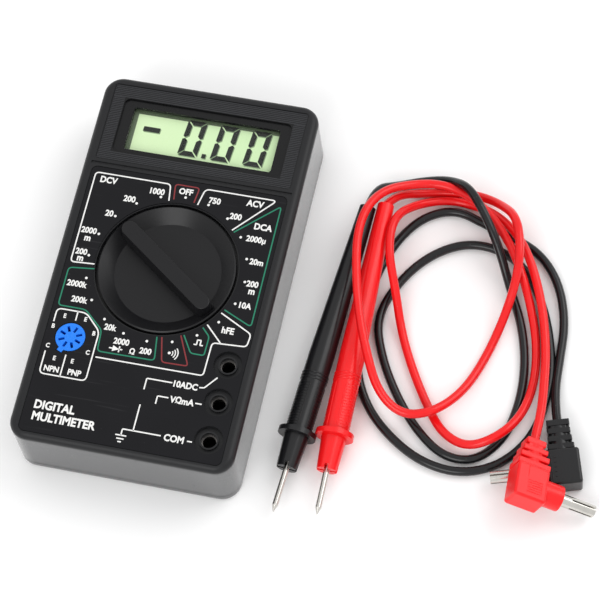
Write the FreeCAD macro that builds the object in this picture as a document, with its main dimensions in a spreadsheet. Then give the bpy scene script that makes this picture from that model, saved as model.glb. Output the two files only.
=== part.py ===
import FreeCAD, Part
import math
import os
import re

import Sketcher

# Digital multimeter with two test leads, in millimetres.
# Frame: origin at the centre of the back face, +X across the width, +Y up the face
# towards the display, +Z out of the face. The leads lie on the same surface, at +X.

V = FreeCAD.Vector

# ---------------------------------------------------------------- driving dimensions

SIZES = {
    # case
    "case_width": 70.0, "case_length": 126.0, "case_height": 24.0, "case_corner": 6.0,
    "case_edge": 2.2, "wall": 2.0, "face_thick": 2.4, "parting": 3.0, "floor_thick": 2.0,
    "rear_edge": 1.2, "lip_height": 3.0, "lip_width": 1.2, "lip_gap": 0.1,
    # face: label, display and the groove between them
    "label_width": 63.4, "label_length": 91.3, "label_y": -15.35, "label_thick": 0.35,
    "label_depth": 0.4, "label_corner": 2.0, "groove_y": 31.5, "groove_width": 0.9,
    "groove_depth": 0.4, "ribbed_width": 63.2, "ribbed_length": 27.2, "ribbed_y": 46.6,
    "ribbed_depth": 0.35, "bezel_width": 54.6, "bezel_length": 19.2, "bezel_y": 46.1,
    "bezel_depth": 1.1, "window_width": 47.6, "window_length": 15.0, "window_y": 45.8,
    "lens_thick": 0.8, "lens_gap": 0.1,
    # display stack
    "lcd_width": 50.8, "lcd_length": 21.0, "lcd_thick": 2.7, "lcd_base": 18.0,
    "holder_width": 53.0, "holder_length": 24.0, "holder_top": 21.5, "zebra_width": 48.0,
    "zebra_thick": 1.8, "zebra_spread": 9.0,
    # dial: the knob, its detent ring and its two balls
    "dial_y": -0.5, "dial_hole": 22.3, "knob_radius": 21.5, "knob_rim": 23.6,
    "knob_edge": 21.1, "knob_rim_top": 23.9, "dish_radius": 16.7, "dish_floor": 20.6,
    "flange_radius": 23.4, "flange_low": 15.0, "flange_high": 21.2,
    "hub_radius": 3.0, "hub_low": 9.0, "hub_wall": 5.5, "hollow_radius": 14.5,
    "hollow_top": 18.8, "bar_half": 19.7, "bar_radius": 2.5, "bar_spread": 0.5,
    "bar_base": 20.2, "bar_top": 27.0, "bar_angle": 144.0, "detents": 20.0,
    "detent_crest": 23.7, "detent_outer": 25.9, "valley_radius": 1.9, "valley_place": 22.3,
    "ball_radius": 1.5, "ball_place": 21.9, "ball_height": 17.3, "pocket_radius": 1.55,
    "pocket_floor": 16.0, "spring_radius": 1.25, "spring_bore": 0.85, "spring_low": 16.1,
    "spring_high": 20.3, "wiper_in": 16.0, "wiper_long": 5.0, "wiper_wide": 2.2,
    "wiper_low": 13.75, "wiper_strip": 0.35,
    # jacks and transistor socket
    "jack_x": 26.2, "jack_top_y": -28.5, "jack_pitch": 12.4, "jack_ring": 4.4,
    "jack_ring_depth": 1.0, "jack_collar": 2.95, "jack_mouth": 2.45, "jack_bore": 2.05,
    "jack_outer": 2.9, "jack_top": 21.5, "jack_tail": 1.6, "jack_tail_low": 11.0,
    "jack_floor": 14.4,
    "socket_x": -23.5, "socket_y": -28.4, "socket_radius": 4.6, "socket_gap": 0.1,
    "socket_top": 23.9, "socket_flange": 5.0, "socket_flange_low": 19.8,
    "socket_flange_high": 21.4, "key_reach": 5.6, "key_width": 1.7, "key_angle": 246.0,
    "slot_in": 1.8, "slot_out": 3.7, "slot_width": 0.8, "slot_depth": 5.0,
    # circuit board and the parts on its back
    "board_low": 12.0, "board_high": 13.6, "board_half": 32.0, "board_top_y": 60.0,
    "board_low_y": -32.6, "board_corner": 3.0, "strip_x": 22.2, "strip_low_y": -60.0, "hub_hole": 3.05,
    "tail_hole": 1.7, "blob_y": 22.0, "blob_radius": 7.5, "blob_height": 1.6,
    "fuse_x": -14.0, "fuse_y": 44.0, "fuse_z": 8.6, "fuse_radius": 2.6, "fuse_long": 20.0,
    "buzzer_x": 19.0, "buzzer_y": 46.0, "buzzer_radius": 8.0, "buzzer_low": 5.0,
    "trimmer_side": 6.5, "trimmer_high": 4.0,
    # battery
    "battery_long": 46.4, "battery_wide": 26.4, "battery_high": 17.4, "battery_x": -31.4,
    "battery_y": -59.4, "battery_z": 2.3, "battery_edge": 2.0, "terminal_radius": 2.9,
    "terminal_long": 2.0, "terminal_spread": 6.35, "snap_thick": 4.6,
    # screws
    "boss_radius": 2.3, "boss_hole": 0.95, "boss_low": 6.2, "boss_hole_top": 18.0,
    "rear_boss": 3.7, "rear_boss_hole": 1.6, "counterbore": 2.8, "counterbore_depth": 3.5,
    "screw_core": 0.9, "screw_head": 2.5, "screw_head_thick": 1.3,
    "screw_tip": 15.0, "screw_seat": 3.5, "recess_long": 2.6, "recess_wide": 0.55,
    "recess_deep": 0.7, "post_radius": 2.0, "post_hole": 0.75, "board_screw": 0.7,
    "board_screw_head": 1.6, "board_screw_thick": 0.9,
    # test leads
    "cable": 2.8, "grip_radius": 4.05, "collar_radius": 5.95, "collar_half": 0.8,
    "nose_long": 11.5, "nose_radius": 3.2, "nose_root": 3.9, "grip_long": 27.0,
    "handle_long": 78.0, "tail_radius": 2.6, "tip_radius": 0.95, "tip_bore": 1.0,
    "tip_seat": 6.0, "tip_long": 26.0, "tip_shoulder": 23.5, "notch_width": 1.2,
    "notch_deep": 1.4, "plug_wide": 10.5, "plug_long": 11.5, "plug_thick": 8.0,
    "plug_edge": 0.9, "shroud_radius": 4.3, "shroud_long": 5.5, "shroud_bore": 2.05,
    "relief_long": 10.0, "relief_root": 3.6, "relief_end": 2.4, "pin_radius": 1.95,
    "pin_long": 11.5, "pin_seat": 4.5, "pin_slot": 0.5, "pin_slot_long": 8.0,
}

# Places of the screws that close the case, and of the posts that carry the board
CASE_SCREWS = [(-29.0, 56.5), (29.0, 56.5), (-29.0, -20.5), (29.0, -20.5)]
BOARD_POSTS = [(-29.5, 28.5), (29.5, 28.5), (-29.5, -8.0), (29.5, -8.0)]

# Routes of the two cables, from the back of the probe handle to the plug
BLACK_ROUTE = [
    (54.32, 38.13, 9.66), (55.0, 47.5, 7.5), (60.0, 55.0, 2.0), (69.0, 58.8, 1.4),
    (78.0, 58.6, 5.5), (86.0, 53.6, 12.6), (92.0, 43.2, 13.0), (97.2, 32.8, 8.8),
    (102.9, 22.3, 1.4), (108.6, 11.2, 1.4), (112.2, -1.5, 1.4), (113.0, -14.5, 1.4),
    (110.8, -27.0, 1.4), (103.5, -36.3, 1.4), (93.5, -36.8, 1.4), (84.0, -30.0, 1.4),
    (75.5, -20.0, 1.4), (68.2, -8.0, 1.4), (63.6, 5.0, 1.4), (68.0, 18.5, 1.4),
    (75.5, 29.0, 1.4), (85.5, 35.4, 1.4), (96.0, 35.6, 1.4), (105.5, 31.0, 1.4),
    (112.5, 21.5, 1.4), (117.5, 10.0, 1.4), (120.6, -2.5, 1.4), (120.8, -15.5, 1.4),
    (118.0, -27.0, 1.4), (110.5, -36.5, 1.4), (99.5, -41.2, 1.4), (87.5, -39.8, 1.4),
    (76.5, -33.8, 1.4), (67.5, -25.5, 1.4), (61.8, -15.0, 1.4), (59.6, -3.0, 1.4),
    (59.6, 9.5, 1.4), (61.2, 22.0, 1.4), (65.0, 33.5, 1.4), (71.5, 42.5, 1.4),
    (81.0, 46.6, 1.4), (91.0, 43.0, 1.4), (100.5, 40.2, 1.4), (110.0, 36.0, 1.4),
    (117.5, 27.0, 1.4), (121.8, 14.0, 1.4), (122.3, 0.5, 1.4), (122.95, -11.4, 2.5),
    (125.48, -19.98, 4.05),
]
RED_ROUTE = [
    (59.79, 40.02, 9.66), (61.5, 47.5, 6.0), (69.0, 52.6, 1.4), (78.5, 55.0, 1.4),
    (88.0, 56.6, 1.4), (96.5, 53.0, 5.0), (102.3, 44.0, 12.0), (105.2, 33.5, 13.0),
    (105.0, 22.5, 9.5), (102.8, 10.5, 2.5), (99.6, -3.0, 1.4), (95.5, -15.5, 4.0),
    (88.5, -25.0, 7.2), (79.0, -28.2, 7.4), (70.5, -23.0, 10.5), (65.0, -12.5, 15.3),
    (60.0, 0.0, 16.3), (56.4, 13.0, 16.5), (54.2, 26.0, 16.3), (55.0, 38.0, 14.8),
    (58.8, 47.5, 11.5), (66.2, 53.2, 8.0), (75.0, 54.4, 7.4), (83.5, 51.6, 7.4),
    (91.0, 45.2, 7.4), (98.9, 37.2, 7.2), (105.2, 27.4, 7.2), (110.6, 16.7, 2.5),
    (114.6, 5.0, 1.4), (116.2, -7.5, 1.4), (114.8, -20.0, 5.0), (109.5, -29.0, 7.2),
    (100.5, -33.4, 4.0), (91.5, -29.3, 1.4), (84.8, -20.5, 1.4), (78.0, -9.5, 1.4),
    (72.3, 2.0, 1.4), (68.6, 12.5, 6.5), (65.0, 24.0, 10.0), (64.6, 36.0, 9.5),
    (69.0, 45.3, 3.0), (77.5, 49.6, 1.4), (86.8, 49.0, 1.4), (95.0, 45.0, 5.0),
    (103.2, 37.8, 7.2), (109.6, 27.3, 7.2), (114.7, 15.1, 4.2), (118.0, 2.0, 4.6),
    (119.6, -10.5, 6.5), (120.6, -21.0, 8.7), (120.31, -30.19, 10.25),
]

# Where each probe lies (guard collar and direction towards the cable) and each plug lies
# (middle of its body, direction of its pin, direction towards the cable)
PROBES = {
    "black": (V(48.8, -39.6, 6.15), V(0.0708, 0.9965, 0.045)),
    "red": (V(60.1, -37.9, 6.15), V(-0.004, 1.0, 0.045)),
}
PLUGS = {
    "black": (V(130.2, -35.0, 4.05), V(-0.954, -0.3, 0.0), V(-0.3, 0.954, 0.0)),
    "red": (V(121.1, -45.7, 12.85), V(0.905, -0.025, -0.422), V(-0.05, 0.985, -0.165)),
}
ROUTES = {"black": BLACK_ROUTE, "red": RED_ROUTE}
ARC_SHARE = 0.45

# ---------------------------------------------------------------- document and helpers

doc = FreeCAD.newDocument("Multimeter")
sheet = doc.addObject("Spreadsheet::Sheet", "Sizes")
for row, (alias, number) in enumerate(SIZES.items(), start=1):
    sheet.set(f"A{row}", alias.replace("_", " "))
    sheet.set(f"B{row}", str(number))
    sheet.setAlias(f"B{row}", alias)
doc.recompute()

nodes = {}


def expr(text):
    """The text with every sheet name in it written the way an expression reads it."""
    return re.sub(r"[a-z]\w*", lambda m: "Sizes." + m[0] if m[0] in SIZES else m[0], text)


def bind(obj, **bindings):
    """Bind properties to sheet expressions; x, y and z are the place of the object."""
    for prop, text in bindings.items():
        name = "Placement.Base." + prop if prop in ("x", "y", "z") else prop
        obj.setExpression(name, expr(text))
    return obj


def box(width, length, height, x="0", y="0", z="0", corner=0.0):
    """A block whose middle is at x, y and whose underside is at z."""
    block = doc.addObject("Part::Box", "Block")
    bind(block, Length=width, Width=length, Height=height)
    bind(block, x=f"{x} - ({width}) / 2", y=f"{y} - ({length}) / 2", z=z)
    if not corner:
        return block
    doc.recompute()
    upright = [n for n, edge in enumerate(block.Shape.Edges, start=1)
               if abs(edge.tangentAt(edge.FirstParameter).z) > 0.99]
    return rounded(block, upright, corner)


def rounded(base, edges, radius):
    """The base with the numbered edges rounded."""
    fillet = doc.addObject("Part::Fillet", "Rounded")
    fillet.Base = base
    fillet.Edges = [(n, radius, radius) for n in edges]
    doc.recompute()
    return fillet


def edges_at(obj, height):
    """Numbers of the object's edges that lie at one height."""
    return [n for n, edge in enumerate(obj.Shape.Edges, start=1)
            if abs(edge.BoundBox.ZMin - height) < 1e-4
            and abs(edge.BoundBox.ZMax - height) < 1e-4]


def rod(radius, height, x="0", y="0", z="0"):
    """An upright cylinder."""
    cylinder = doc.addObject("Part::Cylinder", "Rod")
    return bind(cylinder, Radius=radius, Height=height, x=x, y=y, z=z)


def laid_rod(radius, length, axis, x="0", y="0", z="0"):
    """A cylinder that lies along a direction, from the place given."""
    cylinder = rod(radius, length, x, y, z)
    cylinder.Placement.Rotation = FreeCAD.Rotation(V(0, 0, 1), axis)
    return cylinder


def fuse(*parts):
    joined = doc.addObject("Part::MultiFuse", "Joined")
    joined.Shapes = list(parts)
    return joined


def cut(base, *tools):
    result = doc.addObject("Part::Cut", "Cut")
    result.Base = base
    result.Tool = fuse(*tools) if len(tools) > 1 else tools[0]
    return result


def group(*parts):
    """Separate solids of one node."""
    compound = doc.addObject("Part::Compound", "Group")
    compound.Links = list(parts)
    return compound


def node(obj, label):
    """Keep an object as the sub-part with this name."""
    obj.Label = label
    nodes[label] = obj
    return obj


def origin_plane(body, role):
    return next(f for f in body.Origin.OriginFeatures if f.Role == role)


def placed_sketch(body, role, name):
    sketch = body.newObject("Sketcher::SketchObject", name)
    sketch.AttachmentSupport = [(origin_plane(body, role), "")]
    sketch.MapMode = "FlatFace"
    return sketch


def outline(sketch, corners):
    """A closed outline whose corners are pairs of sheet names; "0" is on an axis."""
    def place(text):
        sign = -1.0 if text.startswith("-") else 1.0
        return sign * SIZES.get(text.lstrip("-"), 0.0)

    count = len(corners)
    ends = [V(place(a), place(b), 0) for a, b in corners]
    for n in range(count):
        sketch.addGeometry(Part.LineSegment(ends[n], ends[(n + 1) % count]))
    for n in range(count):
        sketch.addConstraint(
            Sketcher.Constraint("Coincident", n, 2, (n + 1) % count, 1))
    for n, pair in enumerate(corners):
        for text, kind, axis in ((pair[0], "DistanceX", -2), (pair[1], "DistanceY", -1)):
            if text == "0":
                sketch.addConstraint(Sketcher.Constraint("PointOnObject", n, 1, axis))
                continue
            value = place(text)
            if value < 0:
                rule = Sketcher.Constraint(kind, n, 1, -1, 1, -value)
            else:
                rule = Sketcher.Constraint(kind, -1, 1, n, 1, value)
            index = sketch.addConstraint(rule)
            sketch.setExpression(f"Constraints[{index}]", expr(text.lstrip("-")))


def turned(name, corners):
    """A body turned about its own Z axis from an outline of radius and height pairs."""
    body = doc.addObject("PartDesign::Body", name)
    sketch = placed_sketch(body, "XZ_Plane", name + "_profile")
    outline(sketch, corners)
    turn = body.newObject("PartDesign::Revolution", name + "_turned")
    turn.Profile = sketch
    turn.ReferenceAxis = (sketch, ["V_Axis"])
    turn.Angle = 360.0
    body.Tip = turn
    doc.recompute()
    return body


def tube(route, diameter):
    """A round tube along straight runs joined by tangent arcs, with its arc radii."""
    points = [V(*point) for point in route]
    edges = []
    radii = []
    start = points[0]
    for before, point, after in zip(points, points[1:], points[2:]):
        back = (before - point).normalize()
        ahead = (after - point).normalize()
        shorter = min((before - point).Length, (after - point).Length)
        turn = math.pi - back.getAngle(ahead)
        reach = ARC_SHARE * shorter
        radius = reach / math.tan(turn / 2)
        centre = point + (back + ahead).normalize() * math.hypot(radius, reach)
        middle = centre + (point - centre).normalize() * radius
        first = point + back * reach
        last = point + ahead * reach
        edges.append(Part.LineSegment(start, first).toShape())
        edges.append(Part.Arc(first, middle, last).toShape())
        radii.append(radius)
        start = last
    edges.append(Part.LineSegment(start, points[-1]).toShape())
    path = Part.Wire(edges)
    ring = Part.Circle(points[0], points[1] - points[0], diameter / 2).toShape()
    solid = path.makePipeShell([Part.Wire([ring])], True, False)
    expected = math.pi * diameter ** 2 / 4 * path.Length
    print(f"tube: length {path.Length:.1f}, smallest arc {min(radii):.1f}, "
          f"volume {solid.Volume:.0f} of {expected:.0f}")
    print("  arc radii:", " ".join(f"{radius:.1f}" for radius in radii))
    return solid


def tube_node(label, route, diameter):
    feature = doc.addObject("Part::Feature", label)
    feature.Shape = tube(route, diameter)
    return node(feature, label)


# ---------------------------------------------------------------- case

def detent_ring():
    """The scalloped ring inside the face that the dial's two balls click into."""
    body = doc.addObject("PartDesign::Body", "DetentRing")
    sketch = placed_sketch(body, "XY_Plane", "RingOutline")
    for alias in ("detent_crest", "detent_outer"):
        circle = sketch.addGeometry(
            Part.Circle(V(0, 0, 0), V(0, 0, 1), SIZES[alias]))
        sketch.addConstraint(Sketcher.Constraint("Coincident", circle, 3, -1, 1))
        index = sketch.addConstraint(
            Sketcher.Constraint("Radius", circle, SIZES[alias]))
        sketch.setExpression(f"Constraints[{index}]", expr(alias))
    pad = body.newObject("PartDesign::Pad", "Ring")
    pad.Profile = sketch
    bind(pad, Length="case_height - face_thick - flange_low")
    body.Tip = pad
    doc.recompute()
    valley = placed_sketch(body, "XY_Plane", "ValleyOutline")
    circle = valley.addGeometry(
        Part.Circle(V(SIZES["valley_place"], 0, 0), V(0, 0, 1), SIZES["valley_radius"]))
    valley.addConstraint(Sketcher.Constraint("PointOnObject", circle, 3, -1))
    index = valley.addConstraint(
        Sketcher.Constraint("DistanceX", -1, 1, circle, 3, SIZES["valley_place"]))
    valley.setExpression(f"Constraints[{index}]", expr("valley_place"))
    index = valley.addConstraint(
        Sketcher.Constraint("Radius", circle, SIZES["valley_radius"]))
    valley.setExpression(f"Constraints[{index}]", expr("valley_radius"))
    pocket = body.newObject("PartDesign::Pocket", "Valley")
    pocket.Profile = valley
    pocket.Reversed = True
    bind(pocket, Length="flange_high - flange_low")
    doc.recompute()
    pattern = body.newObject("PartDesign::PolarPattern", "Valleys")
    pattern.Originals = [pocket]
    pattern.Axis = (origin_plane(body, "Z_Axis"), [""])
    pattern.Angle = 360.0
    pattern.Occurrences = int(SIZES["detents"])
    body.Tip = pattern
    doc.recompute()
    if not body.Shape.Volume < pad.Shape.Volume - 1.0:
        raise RuntimeError("the detent valleys cut nothing")
    return bind(body, y="dial_y", z="flange_low")


def jack_heights():
    return [f"jack_top_y - {n} * jack_pitch" for n in range(3)]


def front_case():
    """Moulded front half: deep side walls, the face and everything moulded inside."""
    outer = box("case_width", "case_length", "case_height - parting", z="parting",
                corner=SIZES["case_corner"])
    outer = rounded(outer, edges_at(outer, SIZES["case_height"]), SIZES["case_edge"])
    cavity = box("case_width - 2 * wall", "case_length - 2 * wall",
                 "case_height - parting - face_thick", z="parting",
                 corner=SIZES["case_corner"] - SIZES["wall"])
    solids = [cut(outer, cavity), detent_ring()]
    holes = []
    for x, y in CASE_SCREWS:
        solids.append(rod("boss_radius", "case_height - face_thick - boss_low + 0.2",
                          str(x), str(y), "boss_low"))
        holes.append(rod("boss_hole", "boss_hole_top - boss_low", str(x), str(y),
                         "boss_low"))
    for x, y in BOARD_POSTS:
        solids.append(rod("post_radius", "case_height - face_thick - board_high + 0.1",
                          str(x), str(y), "board_high + 0.1"))
        holes.append(rod("post_hole", "6", str(x), str(y), "board_high"))
    holes.append(box("label_width", "label_length", "1", y="label_y",
                     z="case_height - label_depth", corner=SIZES["label_corner"]))
    holes.append(box("ribbed_width", "ribbed_length", "1", y="ribbed_y",
                     z="case_height - ribbed_depth", corner=1.0))
    holes.append(box("ribbed_width + 1.6", "groove_width", "1", y="groove_y",
                     z="case_height - groove_depth"))
    holes.append(box("bezel_width", "bezel_length", "bezel_depth + 1", y="bezel_y",
                     z="case_height - bezel_depth", corner=2.0))
    holes.append(box("window_width", "window_length", "face_thick + 1", y="window_y",
                     z="case_height - face_thick - 0.5", corner=0.8))
    holes.append(rod("dial_hole", "face_thick + 1", y="dial_y",
                     z="case_height - face_thick - 0.5"))
    ring_low = "case_height - label_depth - jack_ring_depth"
    for y in jack_heights():
        ring = rod("jack_ring", "jack_ring_depth + 1", "jack_x", y, ring_low)
        collar = rod("jack_collar", "jack_ring_depth", "jack_x", y, ring_low)
        holes.append(cut(ring, collar))
        holes.append(rod("jack_mouth", "face_thick + 1", "jack_x", y,
                         "case_height - face_thick - 0.5"))
    holes.append(rod("socket_radius + socket_gap", "face_thick + 1", "socket_x",
                     "socket_y", "case_height - face_thick - 0.5"))
    holes.append(key("key_width + 2 * socket_gap", "key_reach + socket_gap",
                     "face_thick + 1", "case_height - face_thick - 0.5"))
    return node(cut(fuse(*solids), *holes), "front_case")


def key(width, reach, height, low):
    """The socket's locating key, a block from its middle out to its edge."""
    block = doc.addObject("Part::Box", "Key")
    bind(block, Length=reach, Width=width, Height=height)
    angle = math.radians(SIZES["key_angle"])
    block.Placement.Rotation = FreeCAD.Rotation(V(0, 0, 1), SIZES["key_angle"])
    bind(block, x=f"socket_x + ({width}) / 2 * {math.sin(angle):.6f}",
         y=f"socket_y - ({width}) / 2 * {math.cos(angle):.6f}", z=low)
    return block


def rear_case():
    """Moulded back cover: floor, alignment lip and the four screw pillars."""
    plate = box("case_width", "case_length", "parting", corner=SIZES["case_corner"])
    plate = rounded(plate, edges_at(plate, 0.0), SIZES["rear_edge"])
    inset = "2 * (wall + lip_gap)"
    corner = SIZES["case_corner"] - SIZES["wall"] - SIZES["lip_gap"]
    lip = box(f"case_width - {inset}", f"case_length - {inset}",
              "parting + lip_height - floor_thick", z="floor_thick", corner=corner)
    inside = box(f"case_width - {inset} - 2 * lip_width",
                 f"case_length - {inset} - 2 * lip_width", "parting + lip_height",
                 z="floor_thick", corner=corner - SIZES["lip_width"])
    pillars = [rod("rear_boss", "boss_low - 0.1 - floor_thick", str(x), str(y),
                   "floor_thick") for x, y in CASE_SCREWS]
    holes = []
    for x, y in CASE_SCREWS:
        holes.append(rod("rear_boss_hole", "boss_low + 2", str(x), str(y), "-1"))
        holes.append(rod("counterbore", "counterbore_depth", str(x), str(y), "0"))
    shell = fuse(cut(fuse(plate, lip), inside), *pillars)
    return node(cut(shell, *holes), "rear_case")


def screws(label, places, head, thick, radius, seat, length):
    """Pan-head self-tapping screws with a cross recess, driven from the back."""
    made = []
    for x, y in places:
        body = fuse(rod(head, thick, str(x), str(y), f"{seat} - {thick}"),
                    rod(radius, length, str(x), str(y), seat))
        under = f"{seat} - {thick} - 1"
        arms = [box("recess_long * 0.8", "recess_wide", "1 + recess_deep", str(x), str(y),
                    under),
                box("recess_wide", "recess_long * 0.8", "1 + recess_deep", str(x), str(y),
                    under)]
        made.append(cut(body, *arms))
    return node(group(*made), label)


def face_label():
    """The printed overlay stuck into the face, with its openings."""
    low = "case_height - label_depth"
    sheet_part = box("label_width - 0.4", "label_length - 0.4", "label_thick",
                     y="label_y", z=low, corner=SIZES["label_corner"] - 0.2)
    holes = [rod("dial_hole + 0.4", "2", y="dial_y", z=f"{low} - 1"),
             rod("socket_radius + 0.3", "2", "socket_x", "socket_y", f"{low} - 1"),
             key("key_width + 0.6", "key_reach + 0.3", "2", f"{low} - 1")]
    for y in jack_heights():
        holes.append(rod("jack_ring + 0.1", "2", "jack_x", y, f"{low} - 1"))
    return node(cut(sheet_part, *holes), "face_label")


# ---------------------------------------------------------------- display

def display():
    node(box("lcd_width - 2 * lens_gap", "lcd_length - 2 * lens_gap", "lens_thick",
             y="window_y", z="lcd_base + lcd_thick + lens_gap", corner=0.4), "window_lens")
    node(box("lcd_width", "lcd_length", "lcd_thick", y="window_y", z="lcd_base",
             corner=0.4), "lcd_panel")
    frame = box("holder_width", "holder_length", "holder_top - board_high",
                y="window_y", z="board_high", corner=1.0)
    hollow = box("lcd_width + 0.3", "lcd_length + 0.3", "20", y="window_y",
                 z="board_high - 1")
    node(cut(frame, hollow), "lcd_holder")
    strips = [box("zebra_width", "zebra_thick", "lcd_base - board_high",
                  y=f"window_y + {side} * zebra_spread", z="board_high")
              for side in (-1, 1)]
    node(group(*strips), "zebra_strips")


# ---------------------------------------------------------------- dial

def dial_bar():
    """The raised finger bar across the knob, with sides that lean in towards its top."""
    body = doc.addObject("PartDesign::Body", "FingerBar")
    base = slot_sketch(body, "BarBase", "bar_half + bar_spread", "bar_radius + bar_spread")
    bar = body.newObject("PartDesign::Pad", "Bar")
    bar.Profile = base
    bind(bar, Length="bar_top - bar_base",
         TaperAngle="-atan(bar_spread / (bar_top - bar_base))")
    body.Tip = bar
    doc.recompute()
    softened = body.newObject("PartDesign::Fillet", "BarEdge")
    edges = edges_at(bar, SIZES["bar_top"] - SIZES["bar_base"])
    softened.Base = (bar, [f"Edge{n}" for n in edges])
    softened.Radius = 0.35
    body.Tip = softened
    body.Placement.Rotation = FreeCAD.Rotation(V(0, 0, 1), SIZES["bar_angle"])
    return bind(body, y="dial_y", z="bar_base")


def slot_sketch(body, name, half, radius):
    """A slot outline along X: two straight sides and two round ends."""
    sketch = placed_sketch(body, "XY_Plane", name)
    half_value = SIZES["bar_half"]
    radius_value = SIZES["bar_radius"]
    middle = half_value - radius_value
    sketch.addGeometry(Part.LineSegment(V(-middle, radius_value, 0), V(middle, radius_value, 0)))
    sketch.addGeometry(Part.LineSegment(V(middle, -radius_value, 0), V(-middle, -radius_value, 0)))
    for x, low, high in ((middle, -math.pi / 2, math.pi / 2),
                         (-middle, math.pi / 2, 3 * math.pi / 2)):
        circle = Part.Circle(V(x, 0, 0), V(0, 0, 1), radius_value)
        sketch.addGeometry(Part.ArcOfCircle(circle, low, high))
    for rule in (("Tangent", 0, 2, 2, 2), ("Tangent", 2, 1, 1, 1), ("Tangent", 1, 2, 3, 2),
                 ("Tangent", 3, 1, 0, 1), ("Equal", 2, 3), ("PointOnObject", 2, 3, -1),
                 ("Symmetric", 2, 3, 3, 3, -1, 1)):
        sketch.addConstraint(Sketcher.Constraint(*rule))
    index = sketch.addConstraint(Sketcher.Constraint("Radius", 2, radius_value))
    sketch.setExpression(f"Constraints[{index}]", expr(radius))
    index = sketch.addConstraint(Sketcher.Constraint("DistanceX", -1, 1, 2, 3, middle))
    sketch.setExpression(f"Constraints[{index}]", expr(f"{half} - ({radius})"))
    return sketch


def dial():
    shape = [("0", "hub_low"), ("hub_radius", "hub_low"), ("hub_radius", "flange_low"),
             ("flange_radius", "flange_low"), ("flange_radius", "flange_high"),
             ("knob_radius", "flange_high"), ("knob_radius", "knob_rim"),
             ("knob_edge", "knob_rim_top"), ("dish_radius", "dish_floor"),
             ("0", "dish_floor")]
    disc = bind(turned("KnobDisc", shape), y="dial_y")
    hollow = cut(rod("hollow_radius", "hollow_top - flange_low + 1", y="dial_y",
                     z="flange_low - 1"),
                 rod("hub_wall", "60", y="dial_y", z="0"))
    pockets = []
    for side, name in ((-1, "left"), (1, "right")):
        axis = V(side, 0, 0)
        pockets.append(laid_rod("pocket_radius", "flange_radius - pocket_floor + 1", axis,
                                f"{side} * pocket_floor", "dial_y", "ball_height"))
        ball = doc.addObject("Part::Sphere", "Ball")
        bind(ball, Radius="ball_radius", x=f"{side} * ball_place", y="dial_y",
             z="ball_height")
        node(ball, "detent_ball_" + name)
        coil = cut(laid_rod("spring_radius", "spring_high - spring_low", axis,
                            f"{side} * spring_low", "dial_y", "ball_height"),
                   laid_rod("spring_bore", "10", axis, f"{side} * (spring_low - 1)",
                            "dial_y", "ball_height"))
        node(coil, "detent_spring_" + name)
    node(cut(fuse(disc, dial_bar()), hollow, *pockets), "dial_knob")
    wipers = []
    for angle in (60, 180, 300):
        strip = fuse(box("wiper_long", "wiper_wide", "wiper_strip",
                         "wiper_in + wiper_long / 2", "0",
                         "flange_low - wiper_strip"),
                     box("1.2", "wiper_wide", "flange_low - wiper_low",
                         "wiper_in + 0.6", "0", "wiper_low"))
        turn = FreeCAD.Rotation(V(0, 0, 1), angle)
        strip.Placement = FreeCAD.Placement(V(0, SIZES["dial_y"], 0), turn)
        wipers.append(strip)
    node(group(*wipers), "wiper_contacts")


# ---------------------------------------------------------------- sockets

def sockets():
    shape = [("jack_bore", "jack_floor"), ("jack_bore", "jack_top"),
             ("jack_outer", "jack_top"), ("jack_outer", "board_high"),
             ("jack_tail", "board_high"), ("jack_tail", "jack_tail_low"),
             ("0", "jack_tail_low"), ("0", "jack_floor")]
    for name, y in zip(("upper", "middle", "lower"), jack_heights()):
        node(bind(turned("Jack", shape), x="jack_x", y=y), "jack_socket_" + name)
    body = fuse(rod("socket_radius", "socket_top - board_high", "socket_x", "socket_y",
                    "board_high"),
                rod("socket_flange", "socket_flange_high - socket_flange_low", "socket_x",
                    "socket_y", "socket_flange_low"),
                key("key_width", "key_reach", "socket_top - socket_flange_low",
                    "socket_flange_low"))
    slots = []
    contacts = []
    for n in range(8):
        turn = FreeCAD.Rotation(V(0, 0, 1), 22.5 + 45 * n)
        place = FreeCAD.Placement(V(SIZES["socket_x"], SIZES["socket_y"], 0), turn)
        middle = "(slot_in + slot_out) / 2"
        slot = group(box("slot_out - slot_in", "slot_width", "slot_depth + 1", middle, "0",
                         "socket_top - slot_depth"))
        slot.Placement = place
        slots.append(slot)
        contact = group(box("slot_out - slot_in - 0.3", "slot_width - 0.3", "1.5", middle,
                            "0", "socket_top - slot_depth"))
        contact.Placement = place
        contacts.append(contact)
    node(cut(body, *slots), "transistor_socket")
    node(group(*contacts), "transistor_contacts")


# ---------------------------------------------------------------- board and its parts

def circuit_board():
    thick = "board_high - board_low"
    main = box("2 * board_half", "board_top_y - board_low_y", thick,
               y="(board_top_y + board_low_y) / 2", z="board_low",
               corner=SIZES["board_corner"])
    strip = box("board_half - strip_x", "board_low_y - strip_low_y + 2 * board_corner",
                thick, "(board_half + strip_x) / 2",
                "(board_low_y + strip_low_y) / 2 + board_corner", "board_low",
                corner=SIZES["board_corner"])
    holes = [rod("hub_hole", "10", y="dial_y", z="board_low - 5")]
    for x, y in CASE_SCREWS:
        holes.append(rod("boss_radius + 0.5", "10", str(x), str(y), "board_low - 5"))
    for x, y in BOARD_POSTS:
        holes.append(rod("board_screw + 0.1", "10", str(x), str(y), "board_low - 5"))
    for y in jack_heights():
        holes.append(rod("tail_hole", "10", "jack_x", y, "board_low - 5"))
    node(cut(fuse(main, strip), *holes), "circuit_board")


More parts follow.
